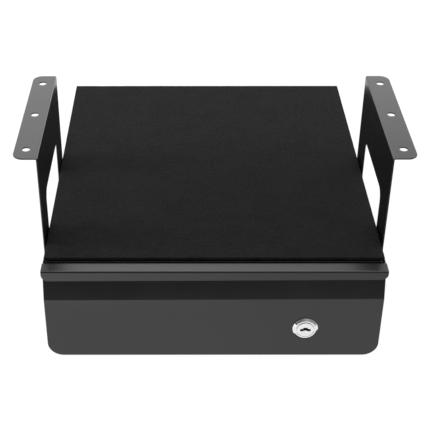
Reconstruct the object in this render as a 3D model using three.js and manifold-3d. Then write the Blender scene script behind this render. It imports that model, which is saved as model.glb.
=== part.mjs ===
// Under desk drawer safe: a sheet steel sleeve that hangs from two side brackets, with a locking
// drawer on ball bearing runners and a felt mat on its top.
// Millimetres. X is the width, Y runs from the drawer front to the back, Z is up.
// The origin is the middle of the sleeve's underside.

import * as THREE from 'three';
import { mergeVertices } from 'three/addons/utils/BufferGeometryUtils.js';
import Module from 'manifold-3d';

// Fits and cutters
const seatGap = 0.3; // between two painted faces that rest on each other
const overrun = 2; // how far a cutter reaches past the face it cuts
const screwClearance = 0.25; // radial, round every screw, stud and rivet

// Roundness of arcs and holes
const bendSteps = 4;
const wideBendSteps = 8;
const cornerSteps = 6;
const holeSides = 16;
const screwSides = 12;
const ballSides = 8;
const lockSides = 40;

// Sleeve
const housingWidth = 300;
const housingDepth = 338; // of the top plate
const housingHeight = 99.1;
const shellGauge = 1.2;
const shellBend = 1.5;
const topFlange = 11; // turned down inside the sides
const rearFlange = 11;

// Felt mat
const matThickness = 3.1;
const matSideInset = 0.7;
const matFrontInset = 1.5;
const matRearInset = 0.5;
const matCornerRadius = 1.5;

// Drawer front
const frontGauge = 1.2;
const frontBend = 0.4;
const frontGap = 0.6; // to the sleeve behind it
const frontSideLap = 0.6; // past the sleeve's sides
const frontFloorGap = 1;
const foldHeight = 64.2; // from the lower edge to the fold line
const lipDepth = 13.5;
const lipDrop = 10.1;
const lipSetback = 3.6; // of the lower panel behind the lip's face
const lipCornerRadius = 6;
const panelCornerRadius = 14;
const studDiameter = 4;
const studLength = 6.5;

// Drawer tray
const trayGauge = 1;
const trayBend = 1;
const trayFloorHeight = 9; // of its underside above the sleeve's underside
const trayTopGap = 12.9; // from its walls' top edges to the top plate
const trayRearGap = 9; // to the rear panel's flange
const trayFlange = 14;
const studShares = { side: 0.55, floor: 0.8, top: 0.6 }; // of the flange, from its edges
const linerThickness = 2.5;
const linerGap = 1.5; // to the tray's walls

// Ball bearing runners
const runnerDepth = 12.7;
const runnerHeight = 35;
const runnerGauge = 1.2;
const runnerBend = 0.5;
const runnerCentreHeight = 32.5; // above the sleeve's underside
const runnerFrontInset = 2; // behind the top plate's front edge
const runnerRearGap = 25; // to the rear panel's flange
const middleShortfall = 10; // of the middle member against the other two
const memberOverlap = 20; // that is left when the drawer is fully open
const ballDiameter = 3.2;
const ballClearance = 0.06;
const memberGap = 1.2; // between the webs of the outer and the middle member
const raceLip = 1.5; // height of a member's turned tip
const cageGauge = 0.5;
const cageEnd = 11; // beyond the last ball
const ballsPerRow = 5;
const ballPitch = 22;
const slotLength = 12;
const slotWidth = 5;
const slotPlaceShares = [1 / 3, 2 / 3]; // of the member's length

// Brackets
const bracketGauge = 1.2;
const bracketBend = 1.5;
const bracketRise = 91.3; // flange face above the top plate
const bracketLap = 2; // lower edge below the runners' upper edge
const bracketLength = 158.6;
const bracketFrontInset = 22.3; // behind the top plate's front edge
const bracketFlange = 21.6; // from the plate's inner face to the flange's outer edge
const flangeCornerRadius = 9;
const footCornerRadius = 8;
const hangHoleDiameter = 7;
const hangHoleInset = 16.2; // of the end holes from the flange's ends
const windowDrop = 53.4; // of the window's top edge below the flange face
const windowLeg = 33; // width of each leg beside the window
const windowCornerRadius = 10;
const windowSill = 11.1; // of the window's lower edge below the top plate

// Screws, rivets and nuts
const screwDiameter = 4;
const screwHeadDiameter = 8;
const screwHeadHeight = 2.4;
const screwTip = 2.5; // reach past the sheet it is screwed into
const bracketRowShares = [0.75, 0.25]; // of the height from a bracket's lower edge to its window
const flatHeadDiameter = 7;
const flatHeadHeight = 0.8;
const flatShankDiameter = 3.4;
const runnerScrewInset = 12; // from the ends of a runner member
const nutWidth = 7; // across flats
const nutHeight = 3.2;
const rivetDiameter = 3;
const rivetHeadDiameter = 5.5;
const rivetHeadHeight = 1.2;

// Outlines in shares of a radius and a height
const screwTipShares = [0.7, 0.5]; // both of the shank's radius
const panHeadShares = [[1, 0], [1, 0.45], [0.78, 0.9], [0.4, 1], [0, 1]];
const rivetHeadShares = [[1, 0], [0.8, 0.7], [0.4, 1], [0, 1]];
const camHeadShares = [[1.5, 0], [1.5, 0.6], [1, 1], [0, 1]]; // of half the plug's square
const filletShare = 0.49; // the most of a side that a fillet takes

// Cam lock
const lockSideInset = 67.3; // of its axis from the sleeve's side
const lockHeight = 31.8; // above the front's lower edge
const lockRingDiameter = 22.9;
const lockRingHeight = 2.2;
const lockRingLand = 0.5; // height of the edge that its cone starts from
const lockFaceDiameter = 18.6; // of the flat face inside the cone
const plugFaceDiameter = 15.4;
const plugFaceGroove = 0.5; // radial, between it and the ring round it
const plugFaceHeight = 1.6;
const plugFaceProud = 0.4;
const plugFaceBevel = 0.3;
const plugDiameter = 12.4;
const barrelDiameter = 19;
const barrelFlats = 16.4;
const barrelReach = 17; // behind the lower panel's face
const lockClearance = 0.2;
const lockNutWidth = 24;
const lockNutHeight = 4;
const keywayWidth = 9.4;
const keywayHeight = 2.6;
const keywayBump = 1.2;
const keywayDepth = 13;
// A slot that arches in the middle, in shares of its half width, its height and the bump
const keywayShares = [
  [-0.9, -0.5, 0],
  [-0.5, -0.5, 0],
  [-0.25, -0.5, 0.7],
  [0.25, -0.5, 0.7],
  [0.5, -0.5, 0],
  [0.9, -0.5, 0],
  [1, -0.2, 0],
  [0.95, 0.35, 0],
  [0.55, 0.35, 0],
  [0.28, 0.5, 0.9],
  [-0.28, 0.5, 0.9],
  [-0.55, 0.35, 0],
  [-0.95, 0.35, 0],
  [-1, -0.2, 0],
];
const tailWidth = 7.6;
const camGauge = 2;
const camReach = 29;
const camWidth = 13;
const camSlotMargin = 3;
const camScrewDiameter = 3.6;

// Keeper on the sleeve's floor
const keeperGauge = 1.2;
const keeperBend = 0.6;
const keeperWidth = 44;
const keeperFoot = 13;
const keeperHeadroom = 0.9; // under the tray's floor
const keeperPlay = 0.8; // between its upright and the cam
const keeperRivetInset = 6;

// Places worked out from the sizes above
const halfHousing = housingWidth / 2;
const sideInner = halfHousing - shellGauge;
const rearY = housingDepth / 2;
const topFrontY = -rearY;
const lipRearY = topFrontY - frontGap;
const lipFrontY = lipRearY - lipDepth;
const panelY = lipFrontY + lipSetback;
const panelBackY = panelY + frontGauge;
const foldZ = frontFloorGap + foldHeight;
const shellFrontY = panelBackY + frontGap;
const rearFlangeY = rearY - rearFlange;
const matTopZ = housingHeight + seatGap + matThickness;
const runnerWall = sideInner - seatGap; // where a runner starts, going inwards
const trayHalf = runnerWall - runnerDepth - seatGap;
const trayFrontY = panelBackY + seatGap;
const trayRearY = rearFlangeY - trayRearGap;
const trayTopZ = housingHeight - shellGauge - trayTopGap;
const trayFlangeTopZ = foldZ - trayFlange / 2;
const lockX = halfHousing - lockSideInset;
const lockZ = frontFloorGap + lockHeight;
const barrelEndY = panelY + barrelReach;
const camY = barrelEndY + seatGap;
const camBackY = camY + camGauge;
const bracketFrontY = topFrontY + bracketFrontInset;
const bracketMiddleY = bracketFrontY + bracketLength / 2;
const bracketInner = halfHousing + seatGap;
const bracketOuter = bracketInner + bracketGauge;
const bracketTop = housingHeight + bracketRise;
const bracketFoot = runnerCentreHeight + runnerHeight / 2 - bracketLap;
const windowBottomZ = housingHeight - windowSill;
const windowTopZ = bracketTop - windowDrop;
const runnerFrontY = topFrontY + runnerFrontInset;
const runnerLength = rearFlangeY - runnerRearGap - runnerFrontY;
const middleLength = runnerLength - middleShortfall;
const drawerTravel = runnerLength - memberOverlap;
const cageLength = (ballsPerRow - 1) * ballPitch + 2 * cageEnd;
const SIDES = { left: -1, right: 1 };

// Finishes
const paint = { color: 0x1b1b1c, roughness: 0.45, metalness: 0.3 };
const felt = { color: 0x141414, roughness: 1.0, metalness: 0.0 };
const zinc = { color: 0xa9adb0, roughness: 0.35, metalness: 0.9 };
const blackScrew = { color: 0x101010, roughness: 0.4, metalness: 0.6 };
const chrome = { color: 0xe6e8ea, roughness: 0.12, metalness: 1.0 };

const wasm = await Module();
wasm.setup();

// A three.js geometry as a solid that can be joined and cut.
function solidFrom(geometry) {
  const bare = geometry.clone();
  bare.deleteAttribute('normal');
  bare.deleteAttribute('uv');
  const merged = mergeVertices(bare);
  return new wasm.Manifold(new wasm.Mesh({
    numProp: 3,
    vertProperties: new Float32Array(merged.attributes.position.array),
    triVerts: new Uint32Array(merged.index.array),
  }));
}

// A solid back as a three.js geometry.
function geometryFrom(solid) {
  const mesh = solid.getMesh();
  const geometry = new THREE.BufferGeometry();
  geometry.setAttribute('position', new THREE.BufferAttribute(mesh.vertProperties, mesh.numProp));
  geometry.setIndex(new THREE.BufferAttribute(mesh.triVerts, 1));
  return geometry;
}

function joined(solids) {
  return solids.reduce((whole, piece) => whole.add(piece));
}

function cut(solid, cutters) {
  return cutters.reduce((rest, cutter) => rest.subtract(cutter), solid);
}

function outline(points) {
  return new THREE.Shape(points.map(([u, v]) => new THREE.Vector2(u, v)));
}

// Turns a shape drawn in two axes into a prism along the third, between two places on it.
const PLANES = {
  x: new THREE.Matrix4().makeBasis(
    new THREE.Vector3(0, 1, 0), new THREE.Vector3(0, 0, 1), new THREE.Vector3(1, 0, 0)),
  y: new THREE.Matrix4().makeBasis(
    new THREE.Vector3(1, 0, 0), new THREE.Vector3(0, 0, 1), new THREE.Vector3(0, -1, 0)),
  z: new THREE.Matrix4(),
};

// shape is drawn in (Y, Z) for axis x, in (X, Z) for axis y and in (X, Y) for axis z.
function prism(shape, axis, from, to) {
  const options = { depth: to - from, bevelEnabled: false, curveSegments: cornerSteps / 2 };
  const geometry = new THREE.ExtrudeGeometry(shape, options);
  const start = axis === 'y' ? -to : from;
  geometry.translate(0, 0, start);
  return solidFrom(geometry.applyMatrix4(PLANES[axis]));
}

function block(low, high) {
  const size = high.map((value, axis) => value - low[axis]);
  const middle = high.map((value, axis) => (value + low[axis]) / 2);
  return solidFrom(new THREE.BoxGeometry(...size).translate(...middle));
}

// A round bar along an axis: centre gives its place in the other two axes, in X, Y, Z order.
function bar(axis, centre, diameter, from, to, sides = holeSides) {
  const shape = new THREE.Shape();
  shape.absarc(centre[0], centre[1], diameter / 2, 0, 2 * Math.PI, false);
  const options = { depth: to - from, bevelEnabled: false, curveSegments: sides / 2 };
  const geometry = new THREE.ExtrudeGeometry(shape, options);
  geometry.translate(0, 0, axis === 'y' ? -to : from);
  return solidFrom(geometry.applyMatrix4(PLANES[axis]));
}

// What a corner loses when it is rounded. at is the sharp corner, into are the signs of the two
// directions that lead from it into the material.
function roundingShape(at, into, radius) {
  const points = [
    [-overrun, -overrun],
    [radius, -overrun],
  ];
  for (let step = 0; step <= cornerSteps; step += 1) {
    const angle = (Math.PI / 2) * (step / cornerSteps);
    points.push([radius * (1 - Math.sin(angle)), radius * (1 - Math.cos(angle))]);
  }
  points.push([-overrun, radius]);
  return outline(points.map(([u, v]) => [at[0] + into[0] * u, at[1] + into[1] * v]));
}

function roundedRectangle(low, high, fillet) {
  const shorter = Math.min(high[0] - low[0], high[1] - low[1]);
  const radius = Math.min(fillet, filletShare * shorter);
  const shape = new THREE.Shape();
  shape.moveTo(low[0] + radius, low[1]);
  shape.absarc(high[0] - radius, low[1] + radius, radius, -Math.PI / 2, 0, false);
  shape.absarc(high[0] - radius, high[1] - radius, radius, 0, Math.PI / 2, false);
  shape.absarc(low[0] + radius, high[1] - radius, radius, Math.PI / 2, Math.PI, false);
  shape.absarc(low[0] + radius, low[1] + radius, radius, Math.PI, 1.5 * Math.PI, false);
  return shape;
}

// A section with square upper corners and round lower ones.
function troughOutline(half, bottom, top, radius) {
  const shape = new THREE.Shape();
  shape.moveTo(half, top);
  shape.lineTo(-half, top);
  shape.absarc(radius - half, bottom + radius, radius, Math.PI, 1.5 * Math.PI, false);
  shape.absarc(half - radius, bottom + radius, radius, 1.5 * Math.PI, 2 * Math.PI, false);
  return shape;
}

// The section of a folded sheet: a strip of one gauge along a line of corners on its middle,
// with each corner bent round an inside radius.
function foldedStrip(corners, gauge, insideRadius, steps = bendSteps) {
  const line = corners.map(([u, v]) => new THREE.Vector2(u, v));
  const bendRadius = insideRadius + gauge / 2;
  const left = [];
  const right = [];
  const mark = (point, normal) => {
    left.push(point.clone().addScaledVector(normal, gauge / 2));
    right.push(point.clone().addScaledVector(normal, -gauge / 2));
  };
  const directions = line.slice(1).map((point, index) => point.clone().sub(line[index]).normalize());
  const normalOf = (direction) => new THREE.Vector2(-direction.y, direction.x);
  mark(line[0], normalOf(directions[0]));
  for (let index = 1; index < line.length - 1; index += 1) {
    const before = directions[index - 1];
    const after = directions[index];
    const turn = Math.atan2(before.cross(after), before.dot(after));
    const tangent = bendRadius * Math.tan(Math.abs(turn) / 2);
    const start = line[index].clone().addScaledVector(before, -tangent);
    const inward = normalOf(before).multiplyScalar(Math.sign(turn));
    const centre = start.clone().addScaledVector(inward, bendRadius);
    for (let step = 0; step <= steps; step += 1) {
      const angle = (turn * step) / steps;
      const point = start.clone().rotateAround(centre, angle);
      mark(point, normalOf(before).rotateAround(new THREE.Vector2(), angle));
    }
  }
  mark(line[line.length - 1], normalOf(directions[directions.length - 1]));
  return new THREE.Shape([...left, ...right.reverse()]);
}

// A revolved solid. profile runs up the outside in (radius, height) pairs. It is turned so that
// height points along direction and starts from place.
function revolved(profile, place, direction, sides) {
  const points = profile.map(([radius, height]) => new THREE.Vector2(radius, height));
  const geometry = new THREE.LatheGeometry(points, sides);
  const up = new THREE.Vector3(0, 1, 0);
  const turn = new THREE.Quaternion().setFromUnitVectors(up, new THREE.Vector3(...direction));
  geometry.applyQuaternion(turn);
  return solidFrom(geometry.translate(...place));
}

// An outline given in shares, in real sizes.
function scaled(shares, radius, height) {
  return shares.map(([outward, upward]) => [outward * radius, upward * height]);
}

// A screw whose head's underside is at place, with its head pointing along direction.
function panScrew(place, direction, length) {
  const shank = screwDiameter / 2;
  const [tipRadius, tipTaper] = screwTipShares.map((share) => share * shank);
  const profile = [
    [0, -length],
    [tipRadius, -length],
    [shank, tipTaper - length],
    [shank, 0],
    ...scaled(panHeadShares, screwHeadDiameter / 2, screwHeadHeight),
  ];
  return revolved(profile, place, direction, screwSides);
}

function flatScrew(place, direction, length) {
  const profile = [
    [0, -length],
    [flatShankDiameter / 2, -length],
    [flatShankDiameter / 2, 0],
    [flatHeadDiameter / 2, 0],
    [flatHeadDiameter / 2, flatHeadHeight],
    [0, flatHeadHeight],
  ];
  return revolved(profile, place, direction, screwSides);
}

function rivet(place, direction, length) {
  const profile = [
    [0, -length],
    [rivetDiameter / 2, -length],
    [rivetDiameter / 2, 0],
    ...scaled(rivetHeadShares, rivetHeadDiameter / 2, rivetHeadHeight),
  ];
  return revolved(profile, place, direction, screwSides);
}

// A hexagon nut across the Y axis, with a round bore.
function hexNut(centre, width, bore, from, to, boreSides) {
  const corner = width / 2 / Math.cos(Math.PI / 6);
  const points = [];
  for (let index = 0; index < 6; index += 1) {
    const angle = (Math.PI / 3) * index;
    points.push([centre[0] + corner * Math.cos(angle), centre[1] + corner * Math.sin(angle)]);
  }
  const hole = bar('y', centre, bore, from - overrun, to + overrun, boreSides);
  return cut(prism(outline(points), 'y', from, to), [hole]);
}

const frontCorners = [
  [panelY + frontGauge / 2, frontFloorGap],
  [panelY + frontGauge / 2, foldZ],
  [lipRearY - frontGauge / 2, housingHeight - frontGauge / 2],
  [lipFrontY + frontGauge / 2, housingHeight - frontGauge / 2],
  [lipFrontY + frontGauge / 2, housingHeight - lipDrop],
];

// All that lies in front of the drawer front's back face moved back by gap: sheets that end
// behind the front are cut by it, so that their edges follow its fold.
function frontProfileCutter(gap) {
  const back = frontGauge / 2 + gap;
  const [, fold, lipRear] = frontCorners;
  const slope = (lipRear[0] - fold[0]) / (lipRear[1] - fold[1]);
  const topZ = housingHeight + overrun;
  const shape = outline([
    [lipFrontY - overrun, -overrun],
    [fold[0] + back, -overrun],
    [fold[0] + back, fold[1]],
    [fold[0] + back + slope * (topZ - fold[1]), topZ],
    [lipFrontY - overrun, topZ],
  ]);
  return prism(shape, 'x', -housingWidth, housingWidth);
}

// Where the screws go
const bracketScrewZs = bracketRowShares.map(
  (share) => bracketFoot + share * (windowBottomZ - bracketFoot));
const bracketScrewYs = [bracketFrontY + windowLeg / 2, bracketFrontY + bracketLength - windowLeg / 2];
const runnerScrewYs = [runnerFrontY + runnerScrewInset, runnerFrontY + runnerLength - runnerScrewInset];
const studZs = [
  trayFloorHeight + trayFlange * studShares.floor,
  trayFlangeTopZ - trayFlange * studShares.top,
];
const studX = trayHalf - trayFlange * studShares.side;
const keeperRivetXs = [-1, 1].map((side) => lockX + side * (keeperWidth / 2 - keeperRivetInset));

// Bottom and sides in one sheet, whose lower edges are as round as the front's lower corners.
function housingShell() {
  const gauge = shellGauge;
  const half = halfHousing - gauge / 2;
  const section = foldedStrip([
    [-half, housingHeight],
    [-half, gauge / 2],
    [half, gauge / 2],
    [half, housingHeight],
  ], gauge, panelCornerRadius - gauge, wideBendSteps);
  const holes = [];
  const reach = [-halfHousing - overrun, halfHousing + overrun];
  const screwHole = screwDiameter + 2 * screwClearance;
  const flatHole = flatShankDiameter + 2 * screwClearance;
  const rivetHole = rivetDiameter + 2 * screwClearance;
  bracketScrewYs.forEach((y) => bracketScrewZs.forEach((z) => {
    holes.push(bar('x', [y, z], screwHole, ...reach));
  }));
  runnerScrewYs.forEach((y) => holes.push(bar('x', [y, runnerCentreHeight], flatHole, ...reach)));
  keeperRivetXs.forEach((x) => {
    holes.push(bar('z', [x, keeperRivetY()], rivetHole, -overrun, gauge + overrun));
  });
  const sheet = prism(section, 'y', shellFrontY, rearY);
  return cut(sheet, [frontProfileCutter(frontGap), ...holes]);
}

function topPlate() {
  const gauge = shellGauge;
  const half = sideInner - seatGap - gauge / 2;
  const flangeEnd = housingHeight - gauge - topFlange;
  const section = foldedStrip([
    [-half, flangeEnd],
    [-half, housingHeight - gauge / 2],
    [half, housingHeight - gauge / 2],
    [half, flangeEnd],
  ], gauge, shellBend);
  return prism(section, 'y', topFrontY, rearFlangeY - seatGap);
}

// A pan with its flanges turned forward inside the sleeve.
function rearPanel() {
  const gauge = shellGauge;
  const half = sideInner - seatGap;
  const bottom = gauge + seatGap;
  const radius = panelCornerRadius - gauge - seatGap;
  const outer = troughOutline(half, bottom, housingHeight, radius);
  const inner = troughOutline(half - gauge, bottom + gauge, housingHeight - gauge, radius - gauge);
  const hollow = prism(inner, 'y', rearFlangeY - overrun, rearY - gauge);
  return cut(prism(outer, 'y', rearFlangeY, rearY), [hollow]);
}

function topMat() {
  const half = halfHousing - matSideInset;
  const shape = roundedRectangle(
    [-half, topFrontY + matFrontInset], [half, rearY - matRearInset], matCornerRadius);
  return prism(shape, 'z', housingHeight + seatGap, matTopZ);
}

function bracket(side) {
  const gauge = bracketGauge;
  const backY = bracketFrontY + bracketLength;
  const section = foldedStrip([
    [side * (bracketInner + gauge / 2), bracketFoot],
    [side * (bracketInner + gauge / 2), bracketTop - gauge / 2],
    [side * (bracketInner + bracketFlange), bracketTop - gauge / 2],
  ], gauge, bracketBend);
  const edge = side * (bracketInner + bracketFlange);
  const flangeZs = [bracketTop - gauge - overrun, bracketTop + overrun];
  const plateXs = [side * (bracketInner - overrun), side * (bracketOuter + overrun)];
  const through = [Math.min(...plateXs), Math.max(...plateXs)];
  const window = roundedRectangle(
    [bracketFrontY + windowLeg, windowBottomZ], [backY - windowLeg, windowTopZ], windowCornerRadius);
  const cutters = [prism(window, 'x', ...through)];
  [[bracketFrontY, 1], [backY, -1]].forEach(([y, into]) => {
    const flangeCorner = roundingShape([edge, y], [-side, into], flangeCornerRadius);
    cutters.push(prism(flangeCorner, 'z', ...flangeZs));
    const footCorner = roundingShape([y, bracketFoot], [into, 1], footCornerRadius);
    cutters.push(prism(footCorner, 'x', ...through));
  });
  hangHoleYs().forEach((y) => {
    cutters.push(bar('z', [hangHoleX(side), y], hangHoleDiameter, ...flangeZs));
  });
  const screwHole = screwDiameter + 2 * screwClearance;
  bracketScrewYs.forEach((y) => bracketScrewZs.forEach((z) => {
    cutters.push(bar('x', [y, z], screwHole, ...through));
  }));
  return cut(prism(section, 'y', bracketFrontY, backY), cutters);
}

function hangHoleX(side) {
  return side * (bracketInner + (bracketFlange + bracketGauge) / 2);
}

function hangHoleYs() {
  const reach = bracketLength / 2 - hangHoleInset;
  return [-reach, 0, reach].map((offset) => bracketMiddleY + offset);
}

// Places across a runner, measured inwards from the sleeve's side, and heights from its centre.
const outerFlangeZ = runnerHeight / 2 - runnerGauge / 2;
const outerBallZ = outerFlangeZ - runnerGauge / 2 - ballClearance - ballDiameter / 2;
const middleFlangeZ = outerBallZ - ballDiameter / 2 - ballClearance - runnerGauge / 2;
const innerBallZ = middleFlangeZ - runnerGauge / 2 - ballClearance - ballDiameter / 2;
const innerFlangeZ = innerBallZ - ballDiameter / 2 - ballClearance - runnerGauge / 2;
const outerWeb = runnerGauge / 2;
const middleWeb = outerWeb + runnerGauge + memberGap;
const innerWeb = runnerDepth - runnerGauge / 2;
const middleTip = innerWeb - runnerGauge - seatGap;
const outerTip = middleTip;
const innerTip = middleWeb + runnerGauge + memberGap + runnerGauge;
const outerBallDepth = (middleWeb + outerTip) / 2;
const innerBallDepth = (innerTip + innerWeb) / 2;

// A runner's section runs from its lower tip round its web to its upper tip.
function memberSection(side, web, tip, flangeZ, tipTurn) {
  const at = (depth, height) => [side * (runnerWall - depth), runnerCentreHeight + height];
  return foldedStrip([
    at(tip, -flangeZ - tipTurn),
    at(tip, -flangeZ),
    at(web, -flangeZ),
    at(web, flangeZ),
    at(tip, flangeZ),
    at(tip, flangeZ + tipTurn),
  ], runnerGauge, runnerBend);
}

// A member with its screw holes and the slots between them.
function runnerMember(side, web, tip, flangeZ, tipTurn, length, holeDiameter) {
  const section = memberSection(side, web, tip, flangeZ, tipTurn);
  const webX = side * (runnerWall - web);
  const through = [webX - runnerGauge, webX + runnerGauge];
  const holes = runnerScrewYs.map(
    (y) => bar('x', [y, runnerCentreHeight], holeDiameter, ...through, screwSides));
  const slotYs = slotPlaceShares.map((share) => runnerFrontY + share * length);
  slotYs.forEach((y) => {
    const slot = roundedRectangle(
      [y - slotLength / 2, runnerCentreHeight - slotWidth / 2],
      [y + slotLength / 2, runnerCentreHeight + slotWidth / 2], slotWidth / 2 - ballClearance);
    holes.push(prism(slot, 'x', ...through));
  });
  return cut(prism(section, 'y', runnerFrontY, runnerFrontY + length), holes);
}

function outerMember(side) {
  const hole = flatShankDiameter + 2 * screwClearance;
  return runnerMember(side, outerWeb, outerTip, outerFlangeZ, -raceLip, runnerLength, hole);
}

function middleMember(side) {
  const section = memberSection(side, middleWeb, middleTip, middleFlangeZ, raceLip);
  return prism(section, 'y', runnerFrontY, runnerFrontY + middleLength);
}

function drawerMember(side) {
  const hole = flatShankDiameter + 2 * screwClearance;
  return runnerMember(side, innerWeb, innerTip, innerFlangeZ, raceLip, runnerLength, hole);
}

// A cage: a thin U strip from one row of balls round to the other, with the balls held in it.
function ballCage(side, web, ballDepth, ballZ, centreY) {
  const at = (depth, height) => [side * (runnerWall - depth), runnerCentreHeight + height];
  const reach = ballDepth + ballDiameter / 2;
  const section = foldedStrip([
    at(reach, -ballZ),
    at(web, -ballZ),
    at(web, ballZ),
    at(reach, ballZ),
  ], cageGauge, runnerBend);
  const balls = [];
  for (let index = 0; index < ballsPerRow; index += 1) {
    const y = centreY + (index - (ballsPerRow - 1) / 2) * ballPitch;
    [-ballZ, ballZ].forEach((height) => {
      const [x, z] = at(ballDepth, height);
      const ball = new THREE.SphereGeometry(ballDiameter / 2, ballSides, ballSides / 2);
      balls.push(solidFrom(ball.translate(x, y, z)));
    });
  }
  const strip = prism(section, 'y', centreY - cageLength / 2, centreY + cageLength / 2);
  return joined([strip, ...balls]);
}

// Each cage sits so that it is in the middle of its members' overlap when the drawer is open.
function outerCage(side) {
  const openRear = runnerFrontY + middleLength - drawerTravel / 2;
  const centreY = (runnerFrontY + openRear) / 2 + drawerTravel / 4;
  return ballCage(side, (outerWeb + middleWeb) / 2, outerBallDepth, outerBallZ, centreY);
}

function innerCage(side) {
  const openFront = runnerFrontY - drawerTravel / 2;
  const openRear = runnerFrontY + runnerLength - drawerTravel;
  const centreY = (openFront + openRear) / 2 + (drawerTravel * 3) / 4;
  const web = middleWeb + (runnerGauge + memberGap) / 2;
  return ballCage(side, web, innerBallDepth, innerBallZ, centreY);
}

function outerMemberScrew(side, y) {
  const headX = side * (runnerWall - runnerGauge);
  const length = runnerGauge + seatGap + shellGauge;
  return flatScrew([headX, y, runnerCentreHeight], [-side, 0, 0], length);
}

function drawerMemberScrew(side, y) {
  const headX = side * (trayHalf - trayGauge);
  const length = trayGauge + seatGap + runnerGauge;
  return flatScrew([headX, y, runnerCentreHeight], [-side, 0, 0], length);
}

function bracketScrew(side, y, z) {
  const length = seatGap + bracketGauge + seatGap + shellGauge + screwTip;
  return panScrew([side * (bracketOuter + seatGap), y, z], [side, 0, 0], length);
}

function drawerTray() {
  const gauge = trayGauge;
  const half = trayHalf - gauge / 2;
  const section = foldedStrip([
    [-half, trayTopZ],
    [-half, trayFloorHeight + gauge / 2],
    [half, trayFloorHeight + gauge / 2],
    [half, trayTopZ],
  ], gauge, trayBend);
  const inside = trayHalf - gauge / 2;
  const rear = block(
    [-inside, trayRearY - gauge, trayFloorHeight + gauge / 2], [inside, trayRearY, trayTopZ]);
  const flanges = Object.values(SIDES).map((side) => {
    const xs = [side * inside, side * (trayHalf - trayFlange)];
    return block(
      [Math.min(...xs), trayFrontY, trayFloorHeight + gauge / 2],
      [Math.max(...xs), trayFrontY + gauge, trayFlangeTopZ],
    );
  });
  const sheet = prism(section, 'y', trayFrontY, trayRearY).subtract(frontProfileCutter(seatGap));
  const studHole = studDiameter + 2 * screwClearance;
  const flatHole = flatShankDiameter + 2 * screwClearance;
  const holes = [camSlot()];
  Object.values(SIDES).forEach((side) => studZs.forEach((z) => {
    holes.push(bar('y', [side * studX, z], studHole, trayFrontY - overrun, trayFrontY + gauge + overrun));
  }));
  runnerScrewYs.forEach((y) => {
    holes.push(bar('x', [y, runnerCentreHeight], flatHole, -halfHousing, halfHousing));
  });
  return cut(joined([sheet, rear, ...flanges]), holes);
}

// The cam swings down through this slot in the tray's floor.
function camSlot() {
  const drop = lockZ - trayFloorHeight - trayGauge;
  const sweep = Math.sqrt(camReach * camReach - drop * drop);
  const low = [lockX - camWidth / 2 - camSlotMargin, camY - camSlotMargin];
  const high = [lockX + sweep + camSlotMargin, camBackY + camSlotMargin];
  const shape = roundedRectangle(low, high, camSlotMargin - seatGap);
  return prism(shape, 'z', trayFloorHeight - overrun, trayFloorHeight + trayGauge + overrun);
}

function drawerLiner() {
  const half = trayHalf - trayGauge - linerGap;
  const bottom = trayFloorHeight + trayGauge + seatGap;
  const front = camBackY + 2 * camSlotMargin;
  return block(
    [-half, front, bottom], [half, trayRearY - trayGauge - linerGap, bottom + linerThickness]);
}

function drawerFront() {
  const half = halfHousing + frontSideLap;
  const sheet = prism(foldedStrip(frontCorners, frontGauge, frontBend), 'x', -half, half);
  const split = lipFrontY + frontGauge + frontBend / 2;
  const lipBottom = housingHeight - lipDrop;
  const cutters = [lockHole()];
  [-1, 1].forEach((side) => {
    const at = side * half;
    const lower = roundingShape([at, frontFloorGap], [-side, 1], panelCornerRadius);
    cutters.push(prism(lower, 'y', split, shellFrontY));
    const lip = roundingShape([at, lipBottom], [-side, 1], lipCornerRadius);
    cutters.push(prism(lip, 'y', lipFrontY - overrun, split));
  });
  const studs = [];
  [-1, 1].forEach((side) => studZs.forEach((z) => {
    const root = panelBackY - frontGauge / 2;
    studs.push(bar('y', [side * studX, z], studDiameter, root, panelBackY + studLength, screwSides));
  }));
  return joined([cut(sheet, cutters), ...studs]);
}

function frontNut(side, z) {
  const from = trayFrontY + trayGauge + seatGap;
  const bore = studDiameter + 2 * screwClearance;
  return hexNut([side * studX, z], nutWidth, bore, from, from + nutHeight, screwSides);
}

// The barrel has two flats, which its hole in the front matches so that it can't turn.
function flattened(solid, width) {
  const keep = block(
    [lockX - lockRingDiameter, lipFrontY - overrun, lockZ - width / 2],
    [lockX + lockRingDiameter, camBackY, lockZ + width / 2],
  );
  return solid.intersect(keep);
}

function lockHole() {
  const diameter = barrelDiameter + 2 * lockClearance;
  const round = bar('y', [lockX, lockZ], diameter, panelY - overrun, panelBackY + overrun, lockSides);
  return flattened(round, barrelFlats + 2 * lockClearance);
}

function lockBarrel() {
  const ring = lockRingDiameter / 2;
  const face = panelY - seatGap; // the ring's back
  const recess = plugFaceDiameter / 2 + plugFaceGroove;
  const bore = plugDiameter / 2 + lockClearance;
  const body = barrelDiameter / 2;
  const reach = barrelReach + seatGap;
  const inside = [
    [bore, -reach],
    [body, -reach],
    [body, 0],
  ];
  const outside = [
    [ring, 0],
    [ring, lockRingLand],
    [lockFaceDiameter / 2, lockRingHeight],
    [recess, lockRingHeight],
    [recess, lockRingHeight - plugFaceHeight],
    [bore, lockRingHeight - plugFaceHeight],
    [bore, -reach],
  ];
  const solid = revolved([...inside, ...outside], [lockX, face, lockZ], [0, -1, 0], lockSides);
  const flats = [-1, 1].map((side) => {
    const zs = [lockZ + (side * barrelFlats) / 2, lockZ + side * lockRingDiameter];
    return block(
      [lockX - lockRingDiameter, face, Math.min(...zs)],
      [lockX + lockRingDiameter, barrelEndY + overrun, Math.max(...zs)],
    );
  });
  return cut(solid, flats);
}

function lockNut() {
  const from = panelBackY + seatGap;
  const bore = barrelDiameter + 2 * lockClearance;
  return hexNut([lockX, lockZ], lockNutWidth, bore, from, from + lockNutHeight, lockSides);
}

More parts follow.
